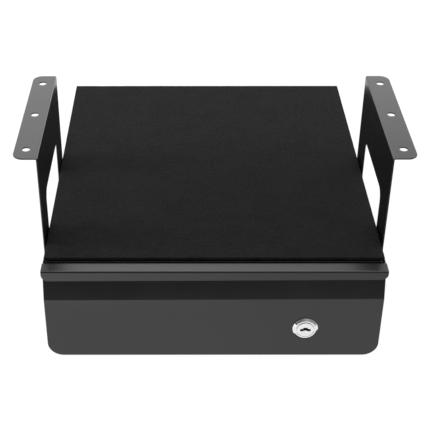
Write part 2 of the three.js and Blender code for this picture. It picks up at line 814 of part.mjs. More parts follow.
function keywayShape() {
  return outline(keywayShares.map(([across, up, bump]) => [
    lockX + across * (keywayWidth / 2),
    lockZ + up * keywayHeight + bump * keywayBump,
  ]));
}

function lockPlug() {
  const ringFace = panelY - seatGap - lockRingHeight;
  const faceY = ringFace - plugFaceProud;
  const headBack = ringFace + plugFaceHeight - seatGap;
  const endY = barrelEndY;
  const profile = [
    [0, faceY - endY],
    [plugDiameter / 2, faceY - endY],
    [plugDiameter / 2, faceY - headBack],
    [plugFaceDiameter / 2, faceY - headBack],
    [plugFaceDiameter / 2, -plugFaceBevel],
    [plugFaceDiameter / 2 - plugFaceBevel, 0],
    [0, 0],
  ];
  const body = revolved(profile, [lockX, faceY, lockZ], [0, -1, 0], lockSides);
  const half = tailWidth / 2;
  const tail = block(
    [lockX - half, endY - overrun, lockZ - half], [lockX + half, camBackY - seatGap, lockZ + half]);
  const threadBore = camScrewDiameter + 2 * screwClearance;
  const thread = bar('y', [lockX, lockZ], threadBore, endY - overrun, camBackY + overrun, screwSides);
  const keyway = prism(keywayShape(), 'y', faceY - overrun, faceY + keywayDepth);
  return cut(body.add(tail), [keyway, thread]);
}

// The cam points sideways while the drawer is unlocked.
function lockCam() {
  const tipX = lockX + camReach - camWidth / 2;
  const shape = new THREE.Shape();
  shape.absarc(lockX, lockZ, camWidth / 2, Math.PI / 2, 1.5 * Math.PI, false);
  shape.absarc(tipX, lockZ, camWidth / 2, -Math.PI / 2, Math.PI / 2, false);
  const half = tailWidth / 2 + lockClearance;
  const hole = block(
    [lockX - half, camY - overrun, lockZ - half], [lockX + half, camBackY + overrun, lockZ + half]);
  return cut(prism(shape, 'y', camY, camBackY), [hole]);
}

function camScrew() {
  const place = [lockX, camBackY + seatGap, lockZ];
  const profile = [
    [0, -camGauge - overrun],
    [camScrewDiameter / 2, -camGauge - overrun],
    [camScrewDiameter / 2, 0],
    ...scaled(camHeadShares, tailWidth / 2, screwHeadHeight),
  ];
  return revolved(profile, place, [0, 1, 0], screwSides);
}

function keeperRivetY() {
  return camY - keeperPlay + keeperFoot - keeperRivetInset;
}

// An angle whose upright stands just in front of the lowered cam.
function lockKeeper() {
  const gauge = keeperGauge;
  const backY = camY - keeperPlay;
  const uprightY = backY - gauge / 2;
  const footZ = shellGauge + seatGap + gauge / 2;
  const topZ = trayFloorHeight - keeperHeadroom;
  const section = foldedStrip([
    [uprightY, topZ],
    [uprightY, footZ],
    [backY + keeperFoot, footZ],
  ], gauge, keeperBend);
  const hole = rivetDiameter + 2 * screwClearance;
  const holes = keeperRivetXs.map((x) => bar('z', [x, keeperRivetY()], hole, 0, topZ));
  const sheet = prism(section, 'x', lockX - keeperWidth / 2, lockX + keeperWidth / 2);
  return cut(sheet, holes);
}

function keeperRivet(x) {
  const headZ = shellGauge + seatGap + keeperGauge + seatGap;
  return rivet([x, keeperRivetY(), headZ], [0, 0, 1], headZ - seatGap);
}

const drawerSafe = new THREE.Group();

// A body's meshes hang in a group of their own.
function group(name) {
  const body = new THREE.Group();
  body.name = name;
  drawerSafe.add(body);
  return body;
}

function place(body, name, solid, finish) {
  const mesh = new THREE.Mesh(geometryFrom(solid), new THREE.MeshStandardMaterial(finish));
  mesh.name = name;
  body.add(mesh);
}

const sleeve = group('sleeve_body');
place(sleeve, 'housing_shell', housingShell(), paint);
place(sleeve, 'top_plate', topPlate(), paint);
place(sleeve, 'rear_panel', rearPanel(), paint);
place(sleeve, 'top_mat', topMat(), felt);
place(sleeve, 'lock_keeper', lockKeeper(), zinc);
keeperRivetXs.forEach((x, index) => {
  place(sleeve, `keeper_rivet_${index + 1}`, keeperRivet(x), zinc);
});

const drawer = group('drawer_body');
place(drawer, 'drawer_front', drawerFront(), paint);
place(drawer, 'drawer_tray', drawerTray(), paint);
place(drawer, 'drawer_liner', drawerLiner(), felt);
place(drawer, 'lock_barrel', lockBarrel(), chrome);
place(drawer, 'lock_nut', lockNut(), zinc);

const middleMembers = group('middle_member_body');
const outerCages = group('outer_cage_body');
const innerCages = group('inner_cage_body');

Object.entries(SIDES).forEach(([name, side]) => {
  place(sleeve, `${name}_bracket`, bracket(side), paint);
  bracketScrewYs.forEach((y, column) => bracketScrewZs.forEach((z, row) => {
    const number = column * bracketScrewZs.length + row + 1;
    place(sleeve, `${name}_bracket_screw_${number}`, bracketScrew(side, y, z), blackScrew);
  }));
  place(sleeve, `${name}_outer_member`, outerMember(side), zinc);
  place(drawer, `${name}_drawer_member`, drawerMember(side), zinc);
  place(middleMembers, `${name}_middle_member`, middleMember(side), zinc);
  place(outerCages, `${name}_outer_cage`, outerCage(side), zinc);
  place(innerCages, `${name}_inner_cage`, innerCage(side), zinc);
  runnerScrewYs.forEach((y, index) => {
    place(sleeve, `${name}_sleeve_screw_${index + 1}`, outerMemberScrew(side, y), zinc);
    place(drawer, `${name}_tray_screw_${index + 1}`, drawerMemberScrew(side, y), zinc);
  });
  studZs.forEach((z, index) => {
    place(drawer, `${name}_front_nut_${index + 1}`, frontNut(side, z), zinc);
  });
});

const lock = group('lock_body');
place(lock, 'lock_plug', lockPlug(), chrome);
place(lock, 'lock_cam', lockCam(), zinc);
place(lock, 'cam_screw', camScrew(), zinc);

export default drawerSafe;
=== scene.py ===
"""Looks of a sheet steel drawer that hangs under a desk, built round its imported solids.

Lengths in the classes are millimetres in the frame of the solids: X is the width, Y runs from
the drawer front to the back, and Z is up. The meshes themselves are in metres.
"""

import logging
import math
from dataclasses import dataclass, field
from enum import Enum
from typing import Callable, Iterable, Sequence

import bmesh
import bpy
from mathutils import Matrix, Vector, noise


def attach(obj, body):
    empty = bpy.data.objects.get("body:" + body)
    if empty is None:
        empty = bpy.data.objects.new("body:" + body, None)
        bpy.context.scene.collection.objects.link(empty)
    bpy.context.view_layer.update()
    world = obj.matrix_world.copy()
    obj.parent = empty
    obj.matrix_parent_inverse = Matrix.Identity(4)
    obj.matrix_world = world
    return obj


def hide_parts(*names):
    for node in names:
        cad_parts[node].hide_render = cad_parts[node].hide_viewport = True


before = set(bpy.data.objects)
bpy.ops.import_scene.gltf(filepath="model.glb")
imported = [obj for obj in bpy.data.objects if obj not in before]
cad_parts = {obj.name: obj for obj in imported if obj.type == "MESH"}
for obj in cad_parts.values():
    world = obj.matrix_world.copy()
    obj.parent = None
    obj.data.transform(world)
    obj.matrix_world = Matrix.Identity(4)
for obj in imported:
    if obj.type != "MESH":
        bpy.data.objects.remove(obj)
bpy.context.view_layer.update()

MM = 0.001
LOG = logging.getLogger("drawer_safe")

Point = tuple[float, float]
Corner = tuple[float, float, float]
Colour = tuple[float, float, float]
Bent = Callable[[float, float, float], Point]
Socket = bpy.types.NodeSocket


class Side(Enum):
    """The two sides of the drawer, as signs along X."""

    LEFT = -1
    RIGHT = 1

    @property
    def word(self) -> str:
        """The side's name as the solids' names begin."""
        return self.name.lower()


class Slot(Enum):
    """The record's material slots."""

    PAINT = "black_paint"
    FELT = "felt"
    ZINC = "zinc"
    SCREW = "black_screw"
    CHROME = "chrome"


class Recess(Enum):
    """What a screwdriver finds in a screw's head."""

    CROSS = "cross"
    NONE = "none"


# Outlines


def rounded(corners: Sequence[Corner], steps: int = 6, closed: bool = True) -> list[Point]:
    """A line of points through corners, each rounded by its own radius.

    Args:
        corners: Across, up and radius of each corner, in order.
        steps: Steps in each rounded corner.
        closed: Whether the last corner joins the first.

    Returns:
        The points of the line.
    """
    points: list[Point] = []
    count = len(corners)
    for index, (x, y, radius) in enumerate(corners):
        at = Vector((x, y))
        end = not closed and index in (0, count - 1)
        if radius <= 0 or end:
            points.append((x, y))
            continue
        before = (Vector(corners[index - 1][:2]) - at).normalized()
        after = (Vector(corners[(index + 1) % count][:2]) - at).normalized()
        half = before.angle(after) / 2
        tangent = radius / math.tan(half)
        centre = at + (before + after).normalized() * (radius / math.sin(half))
        start = at + before * tangent - centre
        finish = at + after * tangent - centre
        sweep = start.angle_signed(finish)
        for step in range(steps + 1):
            arm = start.copy()
            arm.rotate(Matrix.Rotation(-sweep * step / steps, 2))
            points.append(tuple(centre + arm))
    return points


def rounded_box(low: Point, high: Point, radius: float, steps: int = 6) -> list[Point]:
    """The outline of a rectangle with round corners, from its low to its high corner."""
    (x0, y0), (x1, y1) = low, high
    return rounded([(x0, y0, radius), (x1, y0, radius), (x1, y1, radius), (x0, y1, radius)], steps)


def circle(centre: Point, radius: float, sides: int = 32) -> list[Point]:
    """The outline of a circle."""
    (x, y), turns = centre, [2 * math.pi * index / sides for index in range(sides)]
    return [(x + radius * math.cos(turn), y + radius * math.sin(turn)) for turn in turns]


def area(loop: Sequence[Point]) -> float:
    """The area inside a loop, positive if it runs anticlockwise."""
    return sum(x0 * y1 - x1 * y0 for (x0, y0), (x1, y1) in zip(loop, [*loop[1:], loop[0]])) / 2


# Meshes


def linked(name: str, data: bpy.types.ID) -> bpy.types.Object:
    """Makes an object of a mesh, a lamp or a camera.

    Args:
        name: The object's name.
        data: What it shows.

    Returns:
        The object, linked to the scene.
    """
    made = bpy.data.objects.new(name, data)
    bpy.context.scene.collection.objects.link(made)
    return made


class Shape:
    """Points in millimetres, the faces between them and each face's normals at its corners."""

    def __init__(self) -> None:
        """Starts an empty shape."""
        self.points: list[Vector] = []
        self.faces: list[tuple[int, ...]] = []
        self.normals: list[tuple[Vector, ...]] = []
        self.marks: list[int] = []

    def add(
        self,
        points: Sequence[Vector],
        faces: Iterable[tuple[int, ...]],
        normals: Iterable[tuple[Vector, ...]],
        mark: int = 0,
    ) -> None:
        """Adds faces with points of their own.

        Args:
            points: The new points.
            faces: Each face's places in points.
            normals: Each face's normals, one for each of its corners.
            mark: Which of the object's materials the faces take.
        """
        start = len(self.points)
        self.points.extend(points)
        for face, corners in zip(faces, normals):
            self.faces.append(tuple(start + index for index in face))
            self.normals.append(tuple(corners))
            self.marks.append(mark)

    def turned_out(self) -> None:
        """Turns each face so that it winds round its own normals."""
        for index, (face, corners) in enumerate(zip(self.faces, self.normals)):
            a, b, c = (self.points[face[place]] for place in (0, 1, 2))
            wound = (b - a).cross(c - b)
            if len(face) > 3:
                wound += (self.points[face[3]] - c).cross(a - self.points[face[3]])
            if wound.dot(sum(corners, Vector())) < 0:
                self.faces[index] = face[::-1]
                self.normals[index] = corners[::-1]

    def to_object(self, name: str) -> bpy.types.Object:
        """Makes the mesh and its object.

        Args:
            name: The object's name.

        Returns:
            The new object, at the origin of the scene.
        """
        self.turned_out()
        mesh = bpy.data.meshes.new(name)
        mesh.from_pydata([point * MM for point in self.points], [], self.faces)
        mesh.polygons.foreach_set("use_smooth", [True] * len(self.faces))
        mesh.polygons.foreach_set("material_index", self.marks)
        ways = [normal.normalized() for corners in self.normals for normal in corners]
        mesh.normals_split_custom_set(ways)
        return linked(name, mesh)


class StripPath:
    """The middle line of a folded strip: straight runs with a round bend at each inner corner."""

    def __init__(
        self, corners: Sequence[Point], gauge: float, bend: float, fineness: float = 9.0
    ) -> None:
        """Works out the runs and bends.

        Args:
            corners: The corners of the strip's middle line in its section.
            gauge: The sheet's thickness.
            bend: The bends' inside radius.
            fineness: The most degrees that one step of a bend turns.
        """
        places = [Vector(corner) for corner in corners]
        ways = [(after - before).normalized() for before, after in zip(places, places[1:])]
        turns = [0.0, *(-a.angle_signed(b) for a, b in zip(ways, ways[1:])), 0.0]
        self.radius = bend + gauge / 2
        self.cuts = cuts = [self.radius * math.tan(abs(turn) / 2) for turn in turns]
        self.starts: list[float] = []
        self.parts: list[tuple[float, Vector, Vector, float]] = []
        self.lines: list[float] = []
        along = 0.0
        for index, way in enumerate(ways):
            if cuts[index]:
                turn = turns[index]
                steps = max(2, math.ceil(math.degrees(abs(turn)) / fineness))
                length = self.radius * abs(turn)
                start = places[index] - ways[index - 1] * cuts[index]
                self.parts.append((along, start, ways[index - 1], math.copysign(1, turn)))
                self.lines.extend(along + length * step / steps for step in range(steps + 1))
                along += length
            self.starts.append(along)
            start = places[index] + way * cuts[index]
            self.parts.append((along, start, way, 0.0))
            along += (places[index + 1] - places[index]).length - cuts[index] - cuts[index + 1]
        self.length = along

    def on(self, run: int, distance: float) -> float:
        """How far along the strip a point is that lies a distance after a run's first corner."""
        return self.starts[run] + distance - self.cuts[run]

    def at(self, along: float) -> tuple[Vector, Vector]:
        """The place and the direction of the middle line.

        Args:
            along: The distance along the strip.

        Returns:
            The place and the direction, both in the section.
        """
        part = self.parts[0]
        for later in self.parts[1:]:
            if later[0] > along + 1e-6:
                break
            part = later
        since, place, way, turn = part
        if not turn:
            return place + way * (along - since), way
        angle = turn * (along - since) / self.radius
        side = Vector((-way.y, way.x)) * turn
        centre = place + side * self.radius
        rotation = Matrix.Rotation(angle, 2)
        return centre + rotation @ (place - centre), rotation @ way


@dataclass(frozen=True)
class Axes:
    """Where a section's two directions and the direction across it point in the scene."""

    across: Vector
    up: Vector
    along: Vector

    def place(self, section: Vector, along: float) -> Vector:
        """A point or a direction of the section in the scene."""
        return self.across * section.x + self.up * section.y + self.along * along


ALONG_X = Axes(Vector((0, 1, 0)), Vector((0, 0, 1)), Vector((1, 0, 0)))
ALONG_Y = Axes(Vector((1, 0, 0)), Vector((0, 0, 1)), Vector((0, 1, 0)))
FACING_Y = Axes(Vector((1, 0, 0)), Vector((0, 1, 0)), Vector((0, 0, 1)))


@dataclass
class FoldedSheet:
    """A blank of sheet with holes and rounded edges, folded along a path.

    The outline and the holes are given on the blank, as distance along the strip and across it.
    The holes' walls can take a material of their own.
    """

    path: StripPath
    gauge: float
    axes: Axes
    outline: list[Point]
    holes: list[list[Point]] = field(default_factory=list)
    edge: float = 0.25
    edge_steps: int = 2
    walls: int | None = None

    def rings(self, loop: list[Point], outside: bool) -> list[list[tuple[Vector, Vector]]]:
        """The rings of points that round an edge from the front face to the back face.

        Args:
            loop: The edge on the blank.
            outside: Whether it is the outline rather than a hole.

        Returns:
            For each ring its points and their normals, both on the blank.
        """
        if (area(loop) > 0) != outside:
            loop = loop[::-1]
        corners = [Vector(point) for point in loop]
        outward, reach = [], []
        following = [*corners[1:], corners[0]]
        for before, here, after in zip([corners[-1], *corners], corners, following):
            arriving, leaving = here - before, after - here
            first = Vector((arriving.y, -arriving.x))
            second = Vector((leaving.y, -leaving.x))
            outward.append((first + second).normalized())
            mitre = first.normalized() + second.normalized()
            reach.append(mitre / max(0.4, 1 + first.normalized().dot(second.normalized())))
        steps = self.edge_steps
        quarter = [math.pi / 2 * (1 - step / steps) for step in range(steps + 1)]
        flat = self.gauge / 2 - self.edge
        made = []
        for side in (1, -1):
            for lean in quarter if side == 1 else quarter[::-1]:
                height = side * (flat + self.edge * math.sin(lean))
                inset = self.edge * (1 - math.cos(lean))
                made.append([
                    (
                        Vector((*(corner - out * inset), height)),
                        Vector((*(way * math.cos(lean)), side * math.sin(lean))),
                    )
                    for corner, out, way in zip(corners, reach, outward)
                ])
        return made

    def blank(self) -> bmesh.types.BMesh:
        """Makes the flat blank, with its normals in a layer of its points.

        Returns:
            The blank as a closed mesh, cut along the lines of its bends.
        """
        blank = bmesh.new()
        layer = blank.verts.layers.float_vector.new("blank_normal")
        wall = blank.faces.layers.int.new("wall")
        caps: list[list[bmesh.types.BMEdge]] = [[], []]
        loops = [(self.outline, True), *((hole, False) for hole in self.holes)]
        for loop, outside in loops:
            rings = []
            for ring in self.rings(loop, outside):
                verts = []
                for place, normal in ring:
                    vert = blank.verts.new(place)
                    vert[layer] = normal
                    verts.append(vert)
                rings.append(verts)
            for depth, (upper, lower) in enumerate(zip(rings, rings[1:])):
                for index in range(len(upper)):
                    after = (index + 1) % len(upper)
                    face = blank.faces.new((upper[index], lower[index], lower[after], upper[after]))
                    face[wall] = int(not outside and depth >= self.edge_steps)
            for cap, ring in zip(caps, (rings[0], rings[-1])):
                for index in range(len(ring)):
                    cap.append(blank.edges.get((ring[index], ring[(index + 1) % len(ring)])))
        for cap in caps:
            bmesh.ops.triangle_fill(blank, use_beauty=True, use_dissolve=False, edges=cap)
        for line in self.path.lines:
            everything = [*blank.verts, *blank.edges, *blank.faces]
            bmesh.ops.bisect_plane(
                blank, geom=everything, dist=1e-5, plane_co=(line, 0, 0), plane_no=(1, 0, 0))
        return blank

    def fold(self, shape: Shape, mark: int = 0) -> None:
        """Folds the blank and adds it to a shape.

        Args:
            shape: The shape that the sheet joins.
            mark: Which of the object's materials it takes.
        """
        blank = self.blank()
        layer = blank.verts.layers.float_vector["blank_normal"]
        points, normals = [], []
        blank.verts.index_update()
        for vert in blank.verts:
            along, across, height = vert.co
            place, way = self.path.at(along)
            side = Vector((-way.y, way.x))
            points.append(self.axes.place(place + side * height, across))
            lie = vert[layer]
            normals.append(self.axes.place(way * lie.x + side * lie.z, lie.y).normalized())
        faces = [tuple(vert.index for vert in face.verts) for face in blank.faces]
        shape.add(points, faces, [tuple(normals[index] for index in face) for face in faces], mark)
        if self.walls is not None:
            wall = blank.faces.layers.int["wall"]
            start = len(shape.faces) - len(faces)
            for place, face in enumerate(blank.faces):
                if face[wall]:
                    shape.marks[start + place] = self.walls
        blank.free()

    def folded(self) -> Shape:
        """Folds the blank.

        Returns:
            A shape of the folded sheet alone.
        """
        shape = Shape()
        self.fold(shape)
        return shape


@dataclass
class Lathe:
    """Turns a profile, given as radius and height, round an axis."""

    place: Vector
    direction: Vector
    sides: int = 48
    smooth: float = 40.0

    def turn(
        self,
        profile: Sequence[Point],
        shape: Shape,
        mark: int = 0,
        closed: bool = False,
        bent: Bent | None = None,
    ) -> None:
        """Turns the profile and adds it to a shape.

        Args:
            profile: Radius and height of each point.
            shape: The shape that the turned piece joins.
            mark: Which of the object's materials it takes.
            closed: Whether the profile's end joins its start.
            bent: Gives the radius and height of a point from its radius, height and angle, where
                the piece isn't quite round.
        """
        axis = self.direction.normalized()
        first = axis.orthogonal().normalized()
        second = axis.cross(first)
        count = len(profile)
        pairs = [(index, (index + 1) % count) for index in range(count if closed else count - 1)]
        rings: list[list[int]] = []
        points: list[Vector] = []
        for radius, height in profile:
            ring = []
            for side in range(self.sides if radius > 1e-6 else 1):
                angle = 2 * math.pi * side / self.sides
                wide, high = bent(radius, height, angle) if bent else (radius, height)
                arm = first * math.cos(angle) + second * math.sin(angle)
                ring.append(len(points))
                points.append(self.place + arm * wide + axis * high)
            rings.append(ring * self.sides if len(ring) == 1 else ring)
        leans = []
        for low, high in pairs:
            step = Vector(profile[high]) - Vector(profile[low])
            leans.append(Vector((step.y, -step.x)).normalized() if step.length else Vector((1, 0)))
        axis_ends = [] if closed else [(0, profile[-1][1]), (0, profile[0][1])]
        outward = 1 if area([*profile, *axis_ends]) > 0 else -1
        faces, normals = [], []
        for number, (low, high) in enumerate(pairs):
            lean = leans[number] * outward
            ends = []
            for other in (number - 1, number + 1):
                known = closed or 0 <= other < len(pairs)
                near = leans[other % len(pairs)] * outward if known else lean
                meets = math.degrees(lean.angle(near, 0.0)) < self.smooth
                ends.append((lean + near).normalized() if meets else lean)
            for side in range(self.sides):
                after = (side + 1) % self.sides
                corners = [(low, side, 0), (low, after, 0), (high, after, 1), (high, side, 1)]
                face, ways, seen = [], [], set()
                for ring, turn, end in corners:
                    index = rings[ring][turn]
                    if index in seen:
                        continue
                    seen.add(index)
                    shift = 0.5 if len(set(rings[ring])) == 1 else 0
                    angle = 2 * math.pi * (turn + shift) / self.sides
                    arm = first * math.cos(angle) + second * math.sin(angle)
                    face.append(index)
                    ways.append(arm * ends[end].x + axis * ends[end].y)
                if len(face) > 2:
                    faces.append(tuple(face))
                    normals.append(tuple(ways))
        if bent:
            normals = self.measured(points, faces, normals)
        shape.add(points, faces, normals, mark)

    def measured(
        self, points: list[Vector], faces: list[tuple[int, ...]], normals: list[tuple[Vector, ...]]
    ) -> list[tuple[Vector, ...]]:
        """Normals taken from the faces themselves, smooth where they meet at a small angle.

        Args:
            points: The piece's points.
            faces: Its faces.
            normals: The normals of the round piece, which say which side is out.

        Returns:
            The normals of each face's corners.
        """
        flats = []
        for face, corners in zip(faces, normals):
            a, b, c = (points[face[place]] for place in (0, 1, -1))
            flat = (b - a).cross(c - a)
            if len(face) == 4:
                flat = (points[face[2]] - a).cross(points[face[3]] - b)
            flats.append(flat * (1 if flat.dot(sum(corners, Vector())) >= 0 else -1))
        around: dict[int, list[Vector]] = {}
        for face, flat in zip(faces, flats):
            for index in face:
                around.setdefault(index, []).append(flat)
        limit = math.cos(math.radians(self.smooth))
        made = []
        for face, flat in zip(faces, flats):
            own = flat.normalized()
            corners = []
            for index in face:
                near = [other for other in around[index] if other.normalized().dot(own) > limit]
                corners.append(sum(near, Vector()).normalized() if near else own)
            made.append(tuple(corners))
        return made


# Shader nodes


class Tree:
    """A node tree, and the short calls that fill it."""

    def __init__(self, tree: bpy.types.NodeTree) -> None:
        """Takes the tree to fill."""
        self.tree = tree

    def feed(self, target: Socket, value: object) -> None:
        """Links a socket to the target, or sets the target where the value is plain.

        Args:
            target: The input that is fed.
            value: A socket or a plain value.
        """
        if isinstance(value, Socket):
            self.tree.links.new(value, target)
        else:
            target.default_value = value

    def feed_all(self, inputs: bpy.types.NodeInputs, values: dict[int | str, object]) -> None:
        """Feeds several inputs of a node, each found by its name or place."""
        for name, value in values.items():
            self.feed(inputs[name], value)

    def add(
        self, kind: str, inputs: dict[int | str, object] | None = None, **settings: object
    ) -> bpy.types.Node:
        """Adds a node.

        Args:
            kind: The node's type.
            inputs: What goes into its inputs, by name or place.
            **settings: Its properties.

        Returns:
            The node.
        """
        node = self.tree.nodes.new(kind)
        for name, value in settings.items():
            setattr(node, name, value)
        self.feed_all(node.inputs, inputs or {})
        return node

    def maths(self, operation: str, first: object, second: object = 0.0) -> Socket:
        """Works on two values, each a socket or a number, and gives the result."""
        return self.add("ShaderNodeMath", {0: first, 1: second}, operation=operation).outputs[0]

    def plus(self, first: object, second: object) -> Socket:
        """The sum of two values."""
        return self.maths("ADD", first, second)

    def minus(self, first: object, second: object) -> Socket:
        """The first value less the second."""
        return self.maths("SUBTRACT", first, second)

    def times(self, first: object, second: object) -> Socket:
        """The product of two values."""
        return self.maths("MULTIPLY", first, second)

    def vectors(self, operation: str, first: Socket, second: Socket) -> bpy.types.NodeOutputs:
        """Works on two vectors and gives the node's outputs."""
        return self.add("ShaderNodeVectorMath", {0: first, 1: second}, operation=operation).outputs

    def spread(
        self, value: Socket, low: float, high: float, to_low: object, to_high: object
    ) -> Socket:
        """Maps a range of a value onto another range, held at its ends.

        Args:
            value: The value.
            low: The value that becomes to_low.
            high: The value that becomes to_high.
            to_low: A socket or a number.
            to_high: A socket or a number.

        Returns:
            The socket of the result.
        """
        inputs = {
            "Value": value, "From Min": low, "From Max": high, "To Min": to_low, "To Max": to_high}
        return self.add("ShaderNodeMapRange", inputs, clamp=True).outputs["Result"]

    def between(self, share: Socket, low: object, high: object) -> Socket:
        """Maps a share from 0 to 1 onto a range."""
        return self.spread(share, 0.0, 1.0, low, high)

    def blend(self, share: Socket, first: object, second: object) -> Socket:
        """Mixes two colours by a share.

        Args:
            share: The share of the second colour.
            first: A colour socket or a colour.
            second: A colour socket or a colour.

        Returns:
            The socket of the mixed colour.
        """
        ends = [value if isinstance(value, Socket) else (*value, 1.0) for value in (first, second)]
        inputs = {"Factor": share, 6: ends[0], 7: ends[1]}
        return self.add("ShaderNodeMix", inputs, data_type="RGBA").outputs[2]

    def bump(self, height: Socket, depth: float) -> Socket:
        """The normal of a height that is depth metres tall."""
        inputs = {"Strength": 1.0, "Distance": depth, "Height": height}
        return self.add("ShaderNodeBump", inputs).outputs[0]

    def noise(
        self, vector: Socket, scale: object, detail: float = 2.0, roughness: float = 0.5
    ) -> Socket:
        """Adds a noise.

        Args:
            vector: The places that it is laid out on.
            scale: Its scale for each metre, a socket or a number.
            detail: How many finer noises are added.
            roughness: How strong those are.

        Returns:
            The socket of its value, about one half on average.
        """
        inputs = {"Vector": vector, "Scale": scale, "Detail": detail, "Roughness": roughness}
        return self.add("ShaderNodeTexNoise", inputs).outputs[0]

    def places(self) -> Socket:
        """The places on the object itself."""
        return self.add("ShaderNodeTexCoord").outputs["Object"]

    def along(self) -> bpy.types.NodeOutputs:
        """The places on the object itself as X, Y and Z."""
        return self.add("ShaderNodeSeparateXYZ", {0: self.places()}).outputs


class Effect:
    """A shader node group with named inputs and outputs, built once and placed in materials."""

    made: dict[str, bpy.types.NodeTree] = {}
    name = ""
    inputs: tuple[str, ...] = ()
    outputs: tuple[str, ...] = ()

    @classmethod
    def group(cls) -> bpy.types.NodeTree:
        """Builds the group at the first call.

        Returns:
            The group.
        """
        if cls.name not in cls.made:
            tree = bpy.data.node_groups.new(cls.name, "ShaderNodeTree")
            tree.interface.new_socket("Vector", in_out="INPUT", socket_type="NodeSocketVector")
            for way, labels in (("INPUT", cls.inputs), ("OUTPUT", cls.outputs)):
                for label in labels:
                    tree.interface.new_socket(label, in_out=way, socket_type="NodeSocketFloat")
            nodes = Tree(tree)
            results = cls.fill(nodes, nodes.add("NodeGroupInput").outputs)
            nodes.add("NodeGroupOutput", dict(zip(cls.outputs, results)))
            cls.made[cls.name] = tree
        return cls.made[cls.name]

    @classmethod
    def fill(cls, nodes: Tree, given: bpy.types.NodeOutputs) -> tuple[Socket, ...]:
        """Makes the group's nodes.

        Args:
            nodes: The group's tree.
            given: What is fed into the group.

        Returns:
            The sockets of its outputs, in order.
        """
        raise NotImplementedError

    @classmethod
    def place(cls, nodes: Tree, vector: Socket, **values: float) -> bpy.types.NodeOutputs:
        """Places the group in a material with values of its own.

        Args:
            nodes: The material's nodes.
            vector: The places that the effect is laid out on.
            **values: The values of its other inputs, by name.

        Returns:
            The outputs of the placed group.
        """
        inputs = {"Vector": vector, **values}
        return nodes.add("ShaderNodeGroup", inputs, node_tree=cls.group()).outputs


class OrangePeel(Effect):
    """The fine waves in a coat of baked powder, and the pits between its grains."""

    name = "orange_peel"
    inputs = ("Scale", "Waves", "Pits")
    outputs = ("Height", "Fine")

    @classmethod
    def fill(cls, nodes: Tree, given: bpy.types.NodeOutputs) -> tuple[Socket, ...]:
        """Makes the waves, the pits and their sum.

        Args:
            nodes: The group's tree.
            given: What is fed into the group.

        Returns:
            The sockets of its outputs, in order.
        """
        waves = nodes.noise(given["Vector"], given["Scale"], 1.5)
        fine = nodes.noise(given["Vector"], nodes.times(given["Scale"], 5.3), 2.0, 0.6)
        pits = nodes.spread(fine, 0.3, 0.45, 0.0, 1.0)
        small = nodes.times(pits, given["Pits"])
        return nodes.plus(nodes.times(waves, given["Waves"]), small), fine


class Mottle(Effect):
    """Broad uneven patches that shift a finish a little from place to place."""

    name = "mottle"
    inputs = ("Scale", "Contrast")
    outputs = ("Patches",)

    @classmethod
    def fill(cls, nodes: Tree, given: bpy.types.NodeOutputs) -> tuple[Socket, ...]:
        """Makes broad and middling patches and spreads them round one half.

        Args:
            nodes: The group's tree.
            given: What is fed into the group.

        Returns:
            The sockets of its outputs, in order.
        """
        broad = nodes.noise(given["Vector"], given["Scale"], 3.0, 0.55)
        wide = nodes.times(nodes.minus(broad, 0.5), nodes.times(given["Contrast"], 2.2))
        return (nodes.add("ShaderNodeClamp", {"Value": nodes.plus(wide, 0.5)}).outputs[0],)


class EdgeWearAndHighlight(Effect):
    """Where a finish has thinned or rubbed along edges, and where it takes a painted edge
    highlight, broken up by a noise.
    """

    name = "edge_wear_and_highlight"
    inputs = ("Scale", "Amount")
    outputs = ("Mask",)

    @classmethod
    def fill(cls, nodes: Tree, given: bpy.types.NodeOutputs) -> tuple[Socket, ...]:
        """Compares a bevelled normal with the plain one and breaks the edge up.

        Args:
            nodes: The group's tree.
            given: What is fed into the group.

        Returns:
            The sockets of its outputs, in order.
        """
        bevel = nodes.add("ShaderNodeBevel", {"Radius": 0.0006}, samples=6).outputs[0]
        plain = nodes.add("ShaderNodeNewGeometry").outputs["Normal"]
        meet = nodes.vectors("DOT_PRODUCT", bevel, plain)["Value"]
        edge = nodes.spread(meet, 0.99, 0.86, 0.0, 1.0)
        rough = nodes.noise(given["Vector"], given["Scale"], 3.0)
        broken = nodes.spread(rough, 0.35, 0.65, 0.2, 1.0)
        return (nodes.times(nodes.times(edge, broken), given["Amount"]),)


class Fibres(Effect):
    """Matted fibres that lie in every direction, with the small hollows between them."""

    name = "fibres"
    inputs = ("Scale", "Depth")
    outputs = ("Height", "Strands")

    @classmethod
    def fill(cls, nodes: Tree, given: bpy.types.NodeOutputs) -> tuple[Socket, ...]:
        """Bends the places and lays three stretched noises over each other at different angles.

        Args:
            nodes: The group's tree.
            given: What is fed into the group.

        Returns:
            The sockets of its outputs, in order.
        """
        warp = nodes.noise(given["Vector"], 180.0, 1.0)
        shift = {0: nodes.times(warp, 0.004), 1: nodes.times(warp, -0.003)}
        lift = nodes.add("ShaderNodeCombineXYZ", shift).outputs[0]
        bent = nodes.vectors("ADD", given["Vector"], lift)[0]
        layers = []
        for angle, stretch in ((0.3, 7.0), (1.35, 6.0), (2.4, 8.0)):
            way, scale = (0.2 * angle, 0.1, angle), (1.0, stretch, 2.0)
            inputs = {"Vector": bent, "Rotation": way, "Scale": scale}
            turned = nodes.add("ShaderNodeMapping", inputs).outputs[0]
            value = nodes.noise(turned, nodes.times(given["Scale"], 0.35))
            ridge = nodes.maths("ABSOLUTE", nodes.minus(value, 0.5))
            layers.append(nodes.spread(ridge, 0.0, 0.12, 1.0, 0.0))
        strands = nodes.maths("MAXIMUM", nodes.maths("MAXIMUM", layers[0], layers[1]), layers[2])
        hollows = nodes.noise(given["Vector"], given["Scale"])
        height = nodes.plus(nodes.times(strands, 0.6), hollows)
        return nodes.times(height, given["Depth"]), strands


